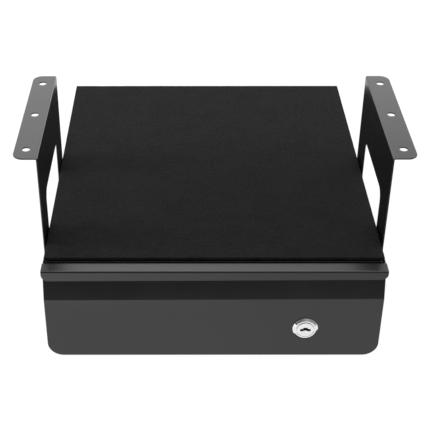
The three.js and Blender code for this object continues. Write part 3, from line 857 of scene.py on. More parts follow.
class RolledGrain(Effect):
    """Fine lines along the way a strip was rolled, with plated grains over them."""

    name = "rolled_grain"
    inputs = ("Scale", "Stretch")
    outputs = ("Lines", "Grains")

    @classmethod
    def fill(cls, nodes: Tree, given: bpy.types.NodeOutputs) -> tuple[Socket, ...]:
        """Stretches one noise along Y and lays a cell pattern beside it.

        Args:
            nodes: The group's tree.
            given: What is fed into the group.

        Returns:
            The sockets of its outputs, in order.
        """
        ways = nodes.add("ShaderNodeCombineXYZ", {0: 1.0, 1: given["Stretch"], 2: 1.0}).outputs[0]
        squeezed = nodes.vectors("DIVIDE", given["Vector"], ways)[0]
        lines = nodes.noise(squeezed, given["Scale"], 4.0, 0.6)
        inputs = {"Vector": given["Vector"], "Scale": nodes.times(given["Scale"], 0.6)}
        cells = nodes.add("ShaderNodeTexVoronoi", inputs).outputs["Color"]
        return lines, nodes.add("ShaderNodeSeparateColor", {0: cells}).outputs[0]


# Finishes


def new_material(name: str) -> tuple[bpy.types.Material, Tree, bpy.types.NodeInputs]:
    """Makes a material.

    Args:
        name: Its name.

    Returns:
        The material, its nodes and the inputs of its shader.
    """
    made = bpy.data.materials.new(name)
    made.use_nodes = True
    return made, Tree(made.node_tree), made.node_tree.nodes["Principled BSDF"].inputs


def scaled(colour: Colour, share: float) -> Colour:
    """A colour made brighter or darker, at most white."""
    return tuple(min(1.0, value * share) for value in colour)


@dataclass(frozen=True)
class Finish:
    """What every finish has: a name, and a material made at its first use."""

    name: str

    def material(self) -> bpy.types.Material:
        """Makes the finish's material at the first call.

        Returns:
            The material.
        """
        known = bpy.data.materials.get(self.name)
        if known is None:
            known, nodes, inputs = new_material(self.name)
            nodes.feed_all(inputs, self.looks(nodes, nodes.places()))
        return known

    def looks(self, nodes: Tree, places: Socket) -> dict[str, object]:
        """Makes the finish's nodes.

        Args:
            nodes: The material's nodes.
            places: The places on the piece.

        Returns:
            What each named input of the shader takes, a socket or a constant.
        """
        raise NotImplementedError


@dataclass(frozen=True)
class PowderCoat(Finish):
    """Baked black powder on sheet steel: a smooth gloss with fine waves in it."""

    colour: Colour = (0.0035, 0.0035, 0.0037)
    # Lighter along the edges: partly a thinner coat, partly a painted edge highlight.
    thin: Colour = (0.012, 0.012, 0.013)
    uneven: float = 0.18
    roughness: float = 0.25
    ior: float = 1.6
    gloss: float = 0.5
    mirrored_gloss: float = 0.003
    scale: float = 380.0
    depth: float = 0.000006

    def looks(self, nodes: Tree, places: Socket) -> dict[str, object]:
        """Dark base, waves in the gloss, and a thinner coat along the edges, lighter there partly
        as a painted edge highlight.

        A sheet that is seen in another one's gloss shines less: the first reflection has taken
        the light that would swing across its face.

        Args:
            nodes: The material's nodes.
            places: The places on the piece.

        Returns:
            What each named input of the shader takes.
        """
        mirrored = nodes.add("ShaderNodeLightPath").outputs["Is Glossy Ray"]
        peel = OrangePeel.place(nodes, places, Scale=self.scale, Waves=1.0, Pits=0.25)
        patches = Mottle.place(nodes, places, Scale=22.0, Contrast=1.0)["Patches"]
        edge = EdgeWearAndHighlight.place(nodes, places, Scale=240.0, Amount=0.6)["Mask"]
        deep, pale = (scaled(self.colour, share) for share in (1 - self.uneven, 1 + self.uneven))
        rough = nodes.between(patches, self.roughness - 0.02, self.roughness + 0.02)
        fine = nodes.spread(peel["Fine"], 0.35, 0.65, -0.012, 0.012)
        return {
            "IOR": self.ior,
            "Specular IOR Level": nodes.between(mirrored, self.gloss, self.mirrored_gloss),
            # Edges take the lighter colour: thinner coat and painted edge highlight.
            "Base Color": nodes.blend(edge, nodes.blend(patches, deep, pale), self.thin),
            "Roughness": nodes.plus(rough, fine),
            "Normal": nodes.bump(peel["Height"], self.depth),
        }


@dataclass(frozen=True)
class Felt(Finish):
    """Needled black felt: matted fibres with a little sheen."""

    colour: Colour = (0.007, 0.007, 0.0073)
    strand: Colour = (0.0183, 0.0183, 0.019)
    tint: Colour = (0.75, 0.76, 0.8)
    sheen: float = 0.045
    gloss: float = 0.07
    scale: float = 1500.0
    depth: float = 0.00012
    row_squeeze: float = 0.33

    def looks(self, nodes: Tree, places: Socket) -> dict[str, object]:
        """Fibres over mottled patches and faint rows of needling, with sheen set on the shader.

        Args:
            nodes: The material's nodes.
            places: The places on the piece.

        Returns:
            What each named input of the shader takes.
        """
        fibres = Fibres.place(nodes, places, Scale=self.scale, Depth=1.0)
        inputs = {"Vector": places, "Scale": (self.row_squeeze, 1.0, 1.0)}
        rows = nodes.add("ShaderNodeMapping", inputs).outputs[0]
        patches = Mottle.place(nodes, places, Scale=55.0, Contrast=1.6)["Patches"]
        tufts = Mottle.place(nodes, places, Scale=420.0, Contrast=3.8)["Patches"]
        streaks = Mottle.place(nodes, rows, Scale=480.0, Contrast=3.0)["Patches"]
        share = nodes.times(fibres["Strands"], 0.25)
        for layer, weight in ((patches, 0.2), (tufts, 0.33), (streaks, 0.22)):
            share = nodes.plus(share, nodes.times(layer, weight))
        height = nodes.plus(fibres["Height"], nodes.times(tufts, 0.8))
        return {
            "Sheen Weight": self.sheen,
            "Sheen Roughness": 0.5,
            "Sheen Tint": (*self.tint, 1.0),
            "Specular IOR Level": self.gloss,
            "Base Color": nodes.blend(share, scaled(self.colour, 0.72), self.strand),
            "Roughness": nodes.between(fibres["Strands"], 1.0, 0.88),
            "Normal": nodes.bump(height, self.depth),
        }


@dataclass(frozen=True)
class ZincPlate(Finish):
    """Bright zinc plating on rolled strip steel."""

    colour: Colour = (0.56, 0.575, 0.59)
    dull: Colour = (0.40, 0.41, 0.415)
    roughness: float = 0.3
    depth: float = 0.000008

    def looks(self, nodes: Tree, places: Socket) -> dict[str, object]:
        """Rolled lines and plated grains over a metal base, duller in patches.

        Args:
            nodes: The material's nodes.
            places: The places on the piece.

        Returns:
            What each named input of the shader takes.
        """
        grain = RolledGrain.place(nodes, places, Scale=900.0, Stretch=16.0)
        patches = Mottle.place(nodes, places, Scale=60.0, Contrast=1.2)["Patches"]
        edge = EdgeWearAndHighlight.place(nodes, places, Scale=300.0, Amount=0.5)["Mask"]
        share = nodes.plus(nodes.times(patches, 0.65), nodes.times(grain["Grains"], 0.35))
        base = nodes.blend(share, self.dull, self.colour)
        low, high = self.roughness - 0.07, self.roughness + 0.09
        rough = nodes.spread(grain["Lines"], 0.3, 0.7, low, high)
        return {
            "Metallic": 1.0,
            # Lighter along the edges: partly thinner plating, partly a painted edge highlight.
            "Base Color": nodes.blend(edge, base, scaled(self.colour, 1.25)),
            "Roughness": nodes.plus(rough, nodes.between(patches, 0.04, -0.04)),
            "Normal": nodes.bump(grain["Lines"], self.depth),
        }


@dataclass(frozen=True)
class BlackOxide(Finish):
    """Blackened steel of small screws, a little brighter along its edges."""

    colour: Colour = (0.018, 0.018, 0.019)
    bare: Colour = (0.16, 0.16, 0.165)
    roughness: float = 0.34
    depth: float = 0.000004

    def looks(self, nodes: Tree, places: Socket) -> dict[str, object]:
        """A dark half metal with rubbed edges and a grain too fine to see apart.

        Args:
            nodes: The material's nodes.
            places: The places on the piece.

        Returns:
            What each named input of the shader takes.
        """
        patches = Mottle.place(nodes, places, Scale=480.0, Contrast=1.4)["Patches"]
        edge = EdgeWearAndHighlight.place(nodes, places, Scale=1400.0, Amount=0.8)["Mask"]
        base = nodes.blend(patches, scaled(self.colour, 0.7), self.colour)
        peel = OrangePeel.place(nodes, places, Scale=2600.0, Waves=0.6, Pits=0.4)
        return {
            "Metallic": 0.55,
            "Base Color": nodes.blend(edge, base, self.bare),
            "Roughness": nodes.between(patches, self.roughness - 0.06, self.roughness + 0.08),
            "Normal": nodes.bump(peel["Height"], self.depth),
        }


@dataclass(frozen=True)
class Chrome(Finish):
    """Bright nickel and chrome on a die-cast lock, with the last marks of polishing."""

    colour: Colour = (0.90, 0.90, 0.905)
    stained: Colour = (0.80, 0.80, 0.80)
    roughness: float = 0.09
    depth: float = 0.000001

    def looks(self, nodes: Tree, places: Socket) -> dict[str, object]:
        """A clear metal, a little duller in patches and along fine lines.

        Args:
            nodes: The material's nodes.
            places: The places on the piece.

        Returns:
            What each named input of the shader takes.
        """
        patches = Mottle.place(nodes, places, Scale=260.0, Contrast=1.2)["Patches"]
        grain = RolledGrain.place(nodes, places, Scale=2600.0, Stretch=1.0)
        rough = nodes.between(patches, self.roughness + 0.03, self.roughness - 0.02)
        fine = nodes.spread(grain["Lines"], 0.35, 0.65, -0.015, 0.015)
        return {
            "Metallic": 1.0,
            "Base Color": nodes.blend(patches, self.stained, self.colour),
            "Roughness": nodes.plus(rough, fine),
            "Normal": nodes.bump(grain["Lines"], self.depth),
        }


@dataclass(frozen=True)
class CastZincShaded(Finish):
    """Bare die-cast zinc inside the keyway, painted dark as the shade in the deep slot."""

    # Dark colours: painted shade of the keyway, on bare cast zinc.
    colour: Colour = (0.05, 0.048, 0.045)
    light: Colour = (0.11, 0.105, 0.10)
    depth: float = 0.00003

    def looks(self, nodes: Tree, places: Socket) -> dict[str, object]:
        """A rough metal with a cast grain, its dark colour painted shade.

        Args:
            nodes: The material's nodes.
            places: The places on the piece.

        Returns:
            What each named input of the shader takes.
        """
        patches = Mottle.place(nodes, places, Scale=900.0, Contrast=1.5)["Patches"]
        return {
            "Metallic": 0.8,
            "Base Color": nodes.blend(patches, self.colour, self.light),
            "Roughness": nodes.between(patches, 0.5, 0.7),
            "Normal": nodes.bump(patches, self.depth),
        }


POWDER = PowderCoat("powder_coat")
FELT = Felt("needled_felt")
ZINC = ZincPlate("zinc_plate")
OXIDE = BlackOxide("black_oxide")
CHROME = Chrome("bright_chrome")
CAST_SHADED = CastZincShaded("cast_zinc_painted_shade")


# What the sub-assemblies share


class SubAssembly:
    """Hands finished pieces over to the frame."""

    body = "sleeve"
    weld_reach = 0.00001
    bevel_angle = 35.0
    even_weight = 60

    def hand_over(
        self, shape: Shape, name: str, slot: Slot = Slot.ZINC,
        finishes: Sequence[Finish] = (ZINC,), body: str = "",
    ) -> None:
        """Makes a piece that stands for the solid of the same name.

        Args:
            shape: The piece's points and faces.
            name: The solid's name.
            slot: The record's slot for the piece's finish; not used.
            finishes: Its materials, in the order of the shape's marks.
            body: The body that it rides on, if that isn't the sub-assembly's own.
        """
        piece = shape.to_object(f"{name}_fine")
        for finish in finishes:
            piece.data.materials.append(finish.material())
        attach(piece, body or self.body)
        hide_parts(name)
        LOG.info("%s: %d faces for solid %s", piece.name, len(shape.faces), name)

    def dress(self, name: str, finish: Finish, edge: float) -> None:
        """Gives a solid that stays its finish and softer edges.

        Args:
            name: The solid's name.
            finish: Its finish.
            edge: The width of its softened edges.
        """
        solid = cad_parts[name]
        solid.data.materials.clear()
        solid.data.materials.append(finish.material())
        solid.data.polygons.foreach_set("use_smooth", [True] * len(solid.data.polygons))
        weld = solid.modifiers.new("weld", "WELD")
        weld.merge_threshold = self.weld_reach
        bevel = solid.modifiers.new("bevel", "BEVEL")
        bevel.width = edge * MM
        bevel.segments = 2
        bevel.limit_method = "ANGLE"
        bevel.angle_limit = math.radians(self.bevel_angle)
        bevel.harden_normals = False
        even = solid.modifiers.new("even", "WEIGHTED_NORMAL")
        even.keep_sharp = False
        even.weight = self.even_weight
        LOG.info("%s: solid dressed in %s", name, finish.name)


@dataclass
class Fastener:
    """A turned screw or rivet: a head with its outline, a shank and a plain tip."""

    head: Sequence[Corner]
    shank: float
    tip: float = 0.3
    recess: Recess = Recess.CROSS
    recess_reach: float = 2.3
    recess_depth: float = 1.4
    arm: float = 0.5
    arm_edge: float = 0.22
    arm_slope: float = 0.3
    end_slope: float = 0.6
    taper: float = 0.35
    face_from: float = 0.6
    face_steps: int = 12

    def profile(self, length: float) -> list[Point]:
        """The profile from the tip up round the head to its middle.

        Args:
            length: How far the shank reaches below the head.

        Returns:
            Radius and height of each point.
        """
        shank = rounded([
            (0.0, -length, 0.0),
            (self.shank - self.tip, -length, 0.0),
            (self.shank, -length + self.tip, 0.0),
            (self.shank, 0.0, 0.0),
        ], 3, closed=False)
        head = rounded(self.head, 4, closed=False)
        radius, height = head[-2]
        steps = self.face_steps
        top = [(radius * (1 - step / steps), height) for step in range(1, steps)]
        return [*shank, *head[:-1], *top, (0.0, head[-1][1])]

    def cross(self, floor: float) -> Bent:
        """Sinks the head's top face where a driver's cross goes.

        Args:
            floor: The height below which nothing is sunk.

        Returns:
            The function that moves a point.
        """
        def sunk(radius: float, height: float, angle: float) -> Point:
            """Lowers a point of the top face by the cross's depth there.

            Args:
                radius: The point's radius.
                height: Its height.
                angle: Its angle.

            Returns:
                Its new radius and height.
            """
            if height < floor or radius > self.recess_reach:
                return radius, height
            x, y = abs(radius * math.cos(angle)), abs(radius * math.sin(angle))
            reach = self.arm + self.arm_edge
            inside = max(0.0, min(1.0, (reach - min(x, y)) / self.arm_slope))
            ends = max(0.0, min(1.0, (self.recess_reach - max(x, y)) / self.end_slope))
            middle = 1 - self.taper * max(x, y) / self.recess_reach
            return radius, height - self.recess_depth * inside * ends * middle
        return sunk

    def make(self, place: Vector, direction: Vector, length: float) -> Shape:
        """Turns the fastener.

        Args:
            place: The middle of its head's underside.
            direction: The way from the shank to the head.
            length: How far the shank reaches below the head.

        Returns:
            The shape.
        """
        shape = Shape()
        profile = self.profile(length)
        top = max(height for _, height in profile)
        bent = self.cross(top * self.face_from) if self.recess is Recess.CROSS else None
        Lathe(place, direction, sides=48).turn(profile, shape, bent=bent)
        return shape


@dataclass
class HexNut:
    """A hexagon nut, its corners chamfered on both faces."""

    width: float
    height: float
    bore: float
    chamfer: float = 0.35
    rim: float = 0.95
    cone: float = 0.9

    def make(self, place: Vector, direction: Vector) -> Shape:
        """Turns the nut and cuts its six flats.

        Args:
            place: The middle of its lower face.
            direction: The way from its lower to its upper face.

        Returns:
            The shape.
        """
        flat = self.width / 2
        corner = flat / math.cos(math.pi / 6)
        profile = [
            (self.bore, 0.0),
            (flat * self.rim, 0.0),
            (corner, self.chamfer),
            (corner, self.height - self.chamfer),
            (flat * self.rim, self.height),
            (self.bore, self.height),
        ]

        def six_sided(radius: float, height: float, angle: float) -> Point:
            """Holds a point inside the six flats.

            Args:
                radius: The point's radius.
                height: Its height.
                angle: Its angle.

            Returns:
                Its new radius and height.
            """
            turn = (angle + math.pi / 6) % (math.pi / 3) - math.pi / 6
            reach = flat / math.cos(turn)
            if radius <= flat * (self.rim + 0.001):
                return radius, height
            low = (corner - reach) / (corner - flat) * self.chamfer * self.cone
            high = min(max(height, self.chamfer - low), self.height - self.chamfer + low)
            return min(radius, reach), high

        shape = Shape()
        lathe = Lathe(place, direction, sides=72, smooth=25.0)
        lathe.turn(profile, shape, closed=True, bent=six_sided)
        return shape


SHEET = 1.2
TOP = 99.1
FOLD = 65.2
LOCK_X, LOCK_Z = 82.7, 32.8
BRACKET_SCREW_YS = (-130.2, -4.6)
BRACKET_SCREW_ZS = (78.0, 58.0)
RUNNER_SCREW_YS = (-155.0, 121.0)
RUNNER_Z = 32.5
RUNNER_SCREW = Fastener(
    ((3.5, 0.0, 0.0), (3.5, 0.3, 0.15), (2.9, 0.8, 0.3), (2.0, 0.8, 0.0), (0.0, 0.8, 0.0)),
    1.7, recess_reach=1.8, recess_depth=0.7, arm=0.4)


# The sub-assemblies


@dataclass
class Sleeve(SubAssembly):
    """The folded sleeve, its top plate, its rear pan and the keeper on its floor."""

    width: float = 300.0
    height: float = TOP
    gauge: float = SHEET
    front: float = -177.7
    slant_top: float = -168.85
    fold: float = FOLD
    rear: float = 169.0
    plate_front: float = -169.0
    plate_rear: float = 157.7
    plate_half: float = 148.5
    flange: float = 11.0
    lower_bend: float = 12.8
    bend: float = 1.5
    screw_ys: tuple[float, float] = BRACKET_SCREW_YS
    screw_zs: tuple[float, float] = BRACKET_SCREW_ZS
    runner_ys: tuple[float, float] = RUNNER_SCREW_YS
    runner_z: float = RUNNER_Z
    keeper_middle: float = LOCK_X
    keeper_width: float = 44.0
    keeper_back: float = -163.0
    keeper_foot: float = 13.0
    keeper_top: float = 8.1
    rivet_inset: float = 6.0
    screw_hole: float = 2.25
    runner_hole: float = 1.95
    rivet_hole: float = 1.75
    rivet_radius: float = 1.5
    rivet_seat: float = 3.0
    rivet_length: float = 2.7
    edge: float = 0.3
    rivet_head: tuple[Corner, ...] = (
        (2.75, 0.0, 0.0), (2.75, 0.35, 0.2), (2.0, 0.95, 0.8), (0.9, 1.2, 0.8), (0.0, 1.2, 0.0))

    def shell(self) -> Shape:
        """Folds the bottom and the sides, whose front edges follow the drawer front's fold.

        Returns:
            The sleeve's shell.
        """
        half = self.width / 2 - self.gauge / 2
        low = self.gauge / 2
        path = StripPath(
            [(-half, self.height), (-half, low), (half, low), (half, self.height)],
            self.gauge, self.lower_bend, fineness=5.0)
        drop = self.height - self.fold
        outline = rounded([
            (0.0, self.slant_top, 0.5),
            (drop, self.front, 1.5),
            (path.length - drop, self.front, 1.5),
            (path.length, self.slant_top, 0.5),
            (path.length, self.rear, 0.5),
            (0.0, self.rear, 0.5),
        ], 4)
        drilled = [(y, z, self.screw_hole) for y in self.screw_ys for z in self.screw_zs]
        drilled += [(y, self.runner_z, self.runner_hole) for y in self.runner_ys]
        holes = []
        for y, z, radius in drilled:
            for along in (self.height - z, path.length - self.height + z):
                holes.append(circle((along, y), radius, 24))
        for x, y in self.rivets():
            holes.append(circle((path.on(1, x + half), y), self.rivet_hole, 20))
        return FoldedSheet(path, self.gauge, ALONG_Y, outline, holes, self.edge).folded()

    def top_plate(self) -> Shape:
        """Folds the lid of the sleeve, its flanges turned down inside the sides.

        Returns:
            The top plate.
        """
        half = self.plate_half - self.gauge / 2
        top = self.height - self.gauge / 2
        end = self.height - self.gauge - self.flange
        corners = [(-half, end), (-half, top), (half, top), (half, end)]
        path = StripPath(corners, self.gauge, self.bend)
        outline = rounded_box((0.0, self.plate_front), (path.length, self.plate_rear), 0.5, 3)
        return FoldedSheet(path, self.gauge, ALONG_Y, outline, [], self.edge).folded()

    def rivets(self) -> list[Point]:
        """Works out where the keeper's two rivets go.

        Returns:
            Their places across and along.
        """
        y = self.keeper_back + self.keeper_foot - self.rivet_inset
        reach = self.keeper_width / 2 - self.rivet_inset
        return [(self.keeper_middle - reach, y), (self.keeper_middle + reach, y)]

    def keeper(self) -> Shape:
        """Folds the small angle that the cam drops behind.

        Returns:
            The keeper.
        """
        foot = 1.5 + self.gauge / 2
        upright = self.keeper_back - self.gauge / 2
        end = self.keeper_back + self.keeper_foot
        corners = [(upright, self.keeper_top), (upright, foot), (end, foot)]
        path = StripPath(corners, self.gauge, 0.6)
        half = self.keeper_width / 2
        low, high = self.keeper_middle - half, self.keeper_middle + half
        ends = [
            (0.0, low, 1.0), (path.length, low, 2.0), (path.length, high, 2.0), (0.0, high, 1.0)]
        outline = rounded(ends, 4)
        middles = [(path.on(1, y - upright), x) for x, y in self.rivets()]
        holes = [circle(middle, self.rivet_hole, 20) for middle in middles]
        return FoldedSheet(path, self.gauge, ALONG_X, outline, holes, 0.2).folded()

    def build(self) -> None:
        """Makes and dresses the sleeve's pieces."""
        self.hand_over(self.shell(), "housing_shell", Slot.PAINT, [POWDER])
        self.hand_over(self.top_plate(), "top_plate", Slot.PAINT, [POWDER])
        self.hand_over(self.keeper(), "lock_keeper")
        self.dress("rear_panel", POWDER, self.edge)
        rivet = Fastener(self.rivet_head, self.rivet_radius, recess=Recess.NONE)
        for number, (x, y) in enumerate(self.rivets(), 1):
            seat = Vector((x, y, self.rivet_seat))
            shape = rivet.make(seat, Vector((0, 0, 1)), self.rivet_length)
            self.hand_over(shape, f"keeper_rivet_{number}")


@dataclass
class Bracket(SubAssembly):
    """One side bracket: a plate with a round-cornered window, a flange, and its four screws."""

    side: Side
    inner: float = 150.3
    gauge: float = SHEET
    bend: float = 0.5
    foot: float = 48.0
    top: float = 190.4
    front: float = -146.7
    rear: float = 11.9
    flange: float = 21.6
    flange_corner: float = 9.0
    foot_corner: float = 8.0
    window: tuple[float, float, float, float] = (-113.7, -21.1, 88.0, 137.0)
    window_corner: float = 10.0
    hang_x: float = 161.7
    hang_ys: tuple[float, float, float] = (-130.5, -67.4, -4.3)
    hang_radius: float = 3.5
    screw_ys: tuple[float, float] = BRACKET_SCREW_YS
    screw_zs: tuple[float, float] = BRACKET_SCREW_ZS
    screw_hole: float = 2.25
    screw_radius: float = 2.0
    screw_tip: float = 0.6
    screw_lift: float = 0.3
    screw_length: float = 5.5
    head: tuple[Corner, ...] = (
        (4.0, 0.0, 0.0), (4.0, 0.9, 0.4), (3.3, 2.1, 1.2), (2.3, 2.4, 0.4), (0.0, 2.4, 0.0))

    def plate(self) -> Shape:
        """Folds the plate and its flange from one blank.

        Returns:
            The bracket.
        """
        sign = self.side.value
        middle = sign * (self.inner + self.gauge / 2)
        top = self.top - self.gauge / 2
        path = StripPath(
            [(middle, self.foot), (middle, top), (sign * (self.inner + self.flange), top)],
            self.gauge, self.bend, fineness=7.5)
        outline = rounded([
            (0.0, self.front, self.foot_corner),
            (path.length, self.front, self.flange_corner),
            (path.length, self.rear, self.flange_corner),
            (0.0, self.rear, self.foot_corner),
        ], 14)
        front, rear, low, high = self.window
        ends = (low - self.foot, front), (high - self.foot, rear)
        holes = [rounded_box(*ends, self.window_corner, 14)]
        for y in self.hang_ys:
            along = path.on(1, self.hang_x - self.inner - self.gauge / 2)
            holes.append(circle((along, y), self.hang_radius, 40))
        for y in self.screw_ys:
            holes.extend(circle((z - self.foot, y), self.screw_hole, 24) for z in self.screw_zs)
        return FoldedSheet(path, self.gauge, ALONG_Y, outline, holes, 0.3, 3).folded()

    def build(self) -> None:
        """Makes and dresses the bracket and its screws."""
        word, sign = self.side.word, self.side.value
        self.hand_over(self.plate(), f"{word}_bracket", Slot.PAINT, [POWDER])
        screw = Fastener(self.head, self.screw_radius, tip=self.screw_tip)
        seat = sign * (self.inner + self.gauge + self.screw_lift)
        places = [Vector((seat, y, z)) for y in self.screw_ys for z in self.screw_zs]
        for number, place in enumerate(places, 1):
            shape = screw.make(place, Vector((sign, 0, 0)), self.screw_length)
            self.hand_over(shape, f"{word}_bracket_screw_{number}", Slot.SCREW, [OXIDE])


@dataclass
class FeltPad(SubAssembly):
    """A pad of felt with soft edges and a slightly uneven face."""

    name: str
    low: Corner
    high: Corner
    carrier: str
    rests_on: str
    edge: float = 1.1
    cell: float = 3.5
    shares: tuple[float, ...] = (0.0, 0.3, 0.65, 1.0, 1.9)
    swell: float = 0.16
    swells: tuple[Point, ...] = ((0.03, 0.5), (0.11, 0.35), (0.6, 0.35))
    sunk: float = 0.2
    fray: float = 0.14
    fray_scale: float = 0.35
    fray_from: Corner = (9.0, 4.0, 2.0)

    def lines(self, low: float, high: float) -> list[float]:
        """Places the grid lines between two faces, closer together near them.

        Args:
            low: The low face.
            high: The high face.

        Returns:
            The lines' places.
        """
        near = [self.edge * share for share in self.shares]
        if high - low <= 2.2 * near[-1]:
            steps = 5
            return [low + (high - low) * step / steps for step in range(steps + 1)]
        inner_low, inner_high = low + near[-1], high - near[-1]
        count = max(1, round((inner_high - inner_low) / self.cell))
        inner = [inner_low + (inner_high - inner_low) * step / count for step in range(1, count)]
        return [*(low + step for step in near), *inner, *(high - step for step in near[::-1])]

    def softened(self, point: Vector) -> Vector:
        """Rounds the pad's edges and stirs its face.

        Args:
            point: A point on the plain slab.

        Returns:
            The point on the pad.
        """
        inner = Vector([
            min(max(value, low + self.edge), high - self.edge)
            for value, low, high in zip(point, self.low, self.high)
        ])
        arm = point - inner
        made = inner + arm.normalized() * self.edge if arm.length > 1e-6 else point.copy()
        waves = sum(noise.noise(point * scale) * share for scale, share in self.swells)
        stir = self.swell * waves - self.swell if point.z > self.low[2] + 1e-6 else 0.0
        made.z = min(made.z + stir, self.high[2] - self.sunk)
        frayed = noise.noise(point * self.fray_scale + Vector(self.fray_from))
        drift = self.fray * (frayed - 0.6)
        for axis in (0, 1):
            if abs(arm[axis]) > 1e-6:
                made[axis] += math.copysign(drift, arm[axis])
        return made

    def slab(self) -> bpy.types.Object:
        """Makes the pad's mesh, a closed box of quads.

        Returns:
            The pad.
        """
        grids = [self.lines(low, high) for low, high in zip(self.low, self.high)]
        sizes = [len(grid) for grid in grids]
        found: dict[tuple[int, int, int], int] = {}
        points: list[Vector] = []
        faces: list[tuple[int, ...]] = []

        def point_at(cell: tuple[int, int, int]) -> int:
            """Makes a grid point at its first use.

            Args:
                cell: Its place in the three grids.

            Returns:
                Its place in the mesh.
            """
            if cell not in found:
                found[cell] = len(points)
                plain = Vector([grids[axis][cell[axis]] for axis in range(3)])
                points.append(self.softened(plain) * MM)
            return found[cell]

        for axis in range(3):
            first, second = (other for other in range(3) if other != axis)
            for at in (0, sizes[axis] - 1):
                for i in range(sizes[first] - 1):
                    for j in range(sizes[second] - 1):
                        ring = []
                        for di, dj in ((0, 0), (1, 0), (1, 1), (0, 1)):
                            cell = [0, 0, 0]
                            cell[axis], cell[first], cell[second] = at, i + di, j + dj
                            ring.append(point_at(tuple(cell)))
                        faces.append(tuple(ring))
        mesh = bpy.data.meshes.new(f"{self.name}_felt")
        mesh.from_pydata(points, [], faces)
        work = bmesh.new()
        work.from_mesh(mesh)
        bmesh.ops.recalc_face_normals(work, faces=work.faces)
        work.to_mesh(mesh)
        work.free()
        mesh.polygons.foreach_set("use_smooth", [True] * len(mesh.polygons))
        return linked(f"{self.name}_felt", mesh)

    def build(self) -> None:
        pad = self.slab()
        pad.data.materials.append(FELT.material())
        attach(pad, self.carrier)
        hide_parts(self.name)
        LOG.info("%s: %d faces for solid %s", pad.name, len(pad.data.polygons), self.name)


@dataclass
class DrawerFront(SubAssembly):
    """The drawer front: lower panel, slanting finger face, lip and turned-down lip front."""

    body = "drawer"
    width: float = 301.2
    gauge: float = SHEET
    bend: float = 0.4
    low: float = 1.0
    fold: float = FOLD
    top: float = TOP
    panel: float = -179.5
    lip_rear: float = -169.6
    lip_front: float = -183.5
    lip_bottom: float = 89.4
    panel_corner: float = 14.0
    lip_corner: float = 6.0
    lock: Point = (LOCK_X, LOCK_Z)
    lock_radius: float = 9.7
    lock_flats: float = 16.8
    stud_x: float = 127.8
    stud_zs: tuple[float, float] = (20.2, 49.8)
    stud_radius: float = 2.0
    stud_length: float = 6.5
    nut_seat: float = -176.7
    nut_width: float = 7.0
    nut_height: float = 3.2
    thread_pitch: float = 0.7
    thread_depth: float = 0.22
    thread_from: float = 0.9
    thread_steps: int = 48
    skew: float = 0.75
    skew_from: float = 31.0

    def skewed(self, point: Vector) -> Vector:
        """Tilts the fold and the lip's end a little, higher on the right, between straight edges.

        Args:
            point: A point of the straight front.

        Returns:
            Its place on the tilted one.
        """
        rear, fold, end = self.skew_from, self.fold, self.top - 1.5
        if point.y < self.panel - 1.5:
            share = (end - point.z) / (end - self.lip_bottom)
        elif point.z > fold:
            share = (end - point.z) / (end - fold)
        else:
            share = (point.z - rear) / (fold - rear)
        lift = self.skew * point.x / (self.width / 2) * min(max(share, 0.0), 1.0)
        return point + Vector((0.0, 0.0, lift))

    def sheet(self, shape: Shape) -> None:
        """Folds the front's blank, tilts its folds and adds it to a shape.

        Args:
            shape: The shape that it joins.
        """
        half, gap = self.width / 2, self.gauge / 2
        corners = [
            (self.panel + gap, self.low),
            (self.panel + gap, self.fold),
            (self.lip_rear - gap, self.top - gap),
            (self.lip_front + gap, self.top - gap),
            (self.lip_front + gap, self.lip_bottom),
        ]
        path = StripPath(corners, self.gauge, self.bend, fineness=7.5)
        outline = rounded([
            (0.0, -half, self.panel_corner),
            (path.length, -half, self.lip_corner),
            (path.length, half, self.lip_corner),
            (0.0, half, self.panel_corner),
        ], 16)
        x, z = self.lock
        reach = self.lock_flats / 2
        cut = math.sqrt(self.lock_radius ** 2 - reach ** 2)
        hole = []
        for side in (1, -1):
            start = math.atan2(-reach, cut) if side == 1 else math.atan2(reach, -cut)
            sweep = 2 * math.atan2(reach, cut)
            for step in range(17):
                turn = start + sweep * step / 16
                hole.append((
                    z - self.low + self.lock_radius * math.sin(turn),
                    x + self.lock_radius * math.cos(turn)))
        FoldedSheet(path, self.gauge, ALONG_X, outline, [hole], 0.3, 3).fold(shape)
        shape.points = [self.skewed(point) for point in shape.points]

    def studs(self, shape: Shape) -> None:
        """Adds the four weld studs with their threads.

        Args:
            shape: The shape that they join.
        """
        back = self.panel + self.gauge

        def threaded(radius: float, height: float, angle: float) -> Point:
            """Cuts a thread into the stud beyond its foot.

            Args:
                radius: The point's radius.
                height: Its height.
                angle: Its angle.

            Returns:
                Its new radius and height.
            """
            if radius < self.stud_radius - 0.6 or height < self.thread_from:
                return radius, height
            wave = (height / self.thread_pitch - angle / (2 * math.pi)) % 1.0
            return radius - self.thread_depth * abs(2 * wave - 1), height

        length, steps = self.stud_length, self.thread_steps
        rows = [self.thread_from + (length - 1.4) * step / steps for step in range(steps + 1)]
        profile = [(0.0, -0.3), (self.stud_radius + 0.5, -0.3), (self.stud_radius + 0.5, 0.3)]
        profile += [(self.stud_radius, 0.6), *((self.stud_radius, row) for row in rows)]
        profile += [(self.stud_radius - 0.5, length), (0.0, length)]
        for side in Side:
            for z in self.stud_zs:
                at = Vector((side.value * self.stud_x, back, z))
                Lathe(at, Vector((0, 1, 0)), sides=24).turn(profile, shape, 1, bent=threaded)

    def build(self) -> None:
        """Makes and dresses the front and the nuts on its studs."""
        shape = Shape()
        self.sheet(shape)
        self.studs(shape)
        self.hand_over(shape, "drawer_front", Slot.PAINT, [POWDER, ZINC])
        nut = HexNut(self.nut_width, self.nut_height, self.stud_radius + 0.25)
        for side in Side:
            for number, z in enumerate(self.stud_zs, 1):
                at = Vector((side.value * self.stud_x, self.nut_seat, z))
                self.hand_over(nut.make(at, Vector((0, 1, 0))), f"{side.word}_front_nut_{number}")


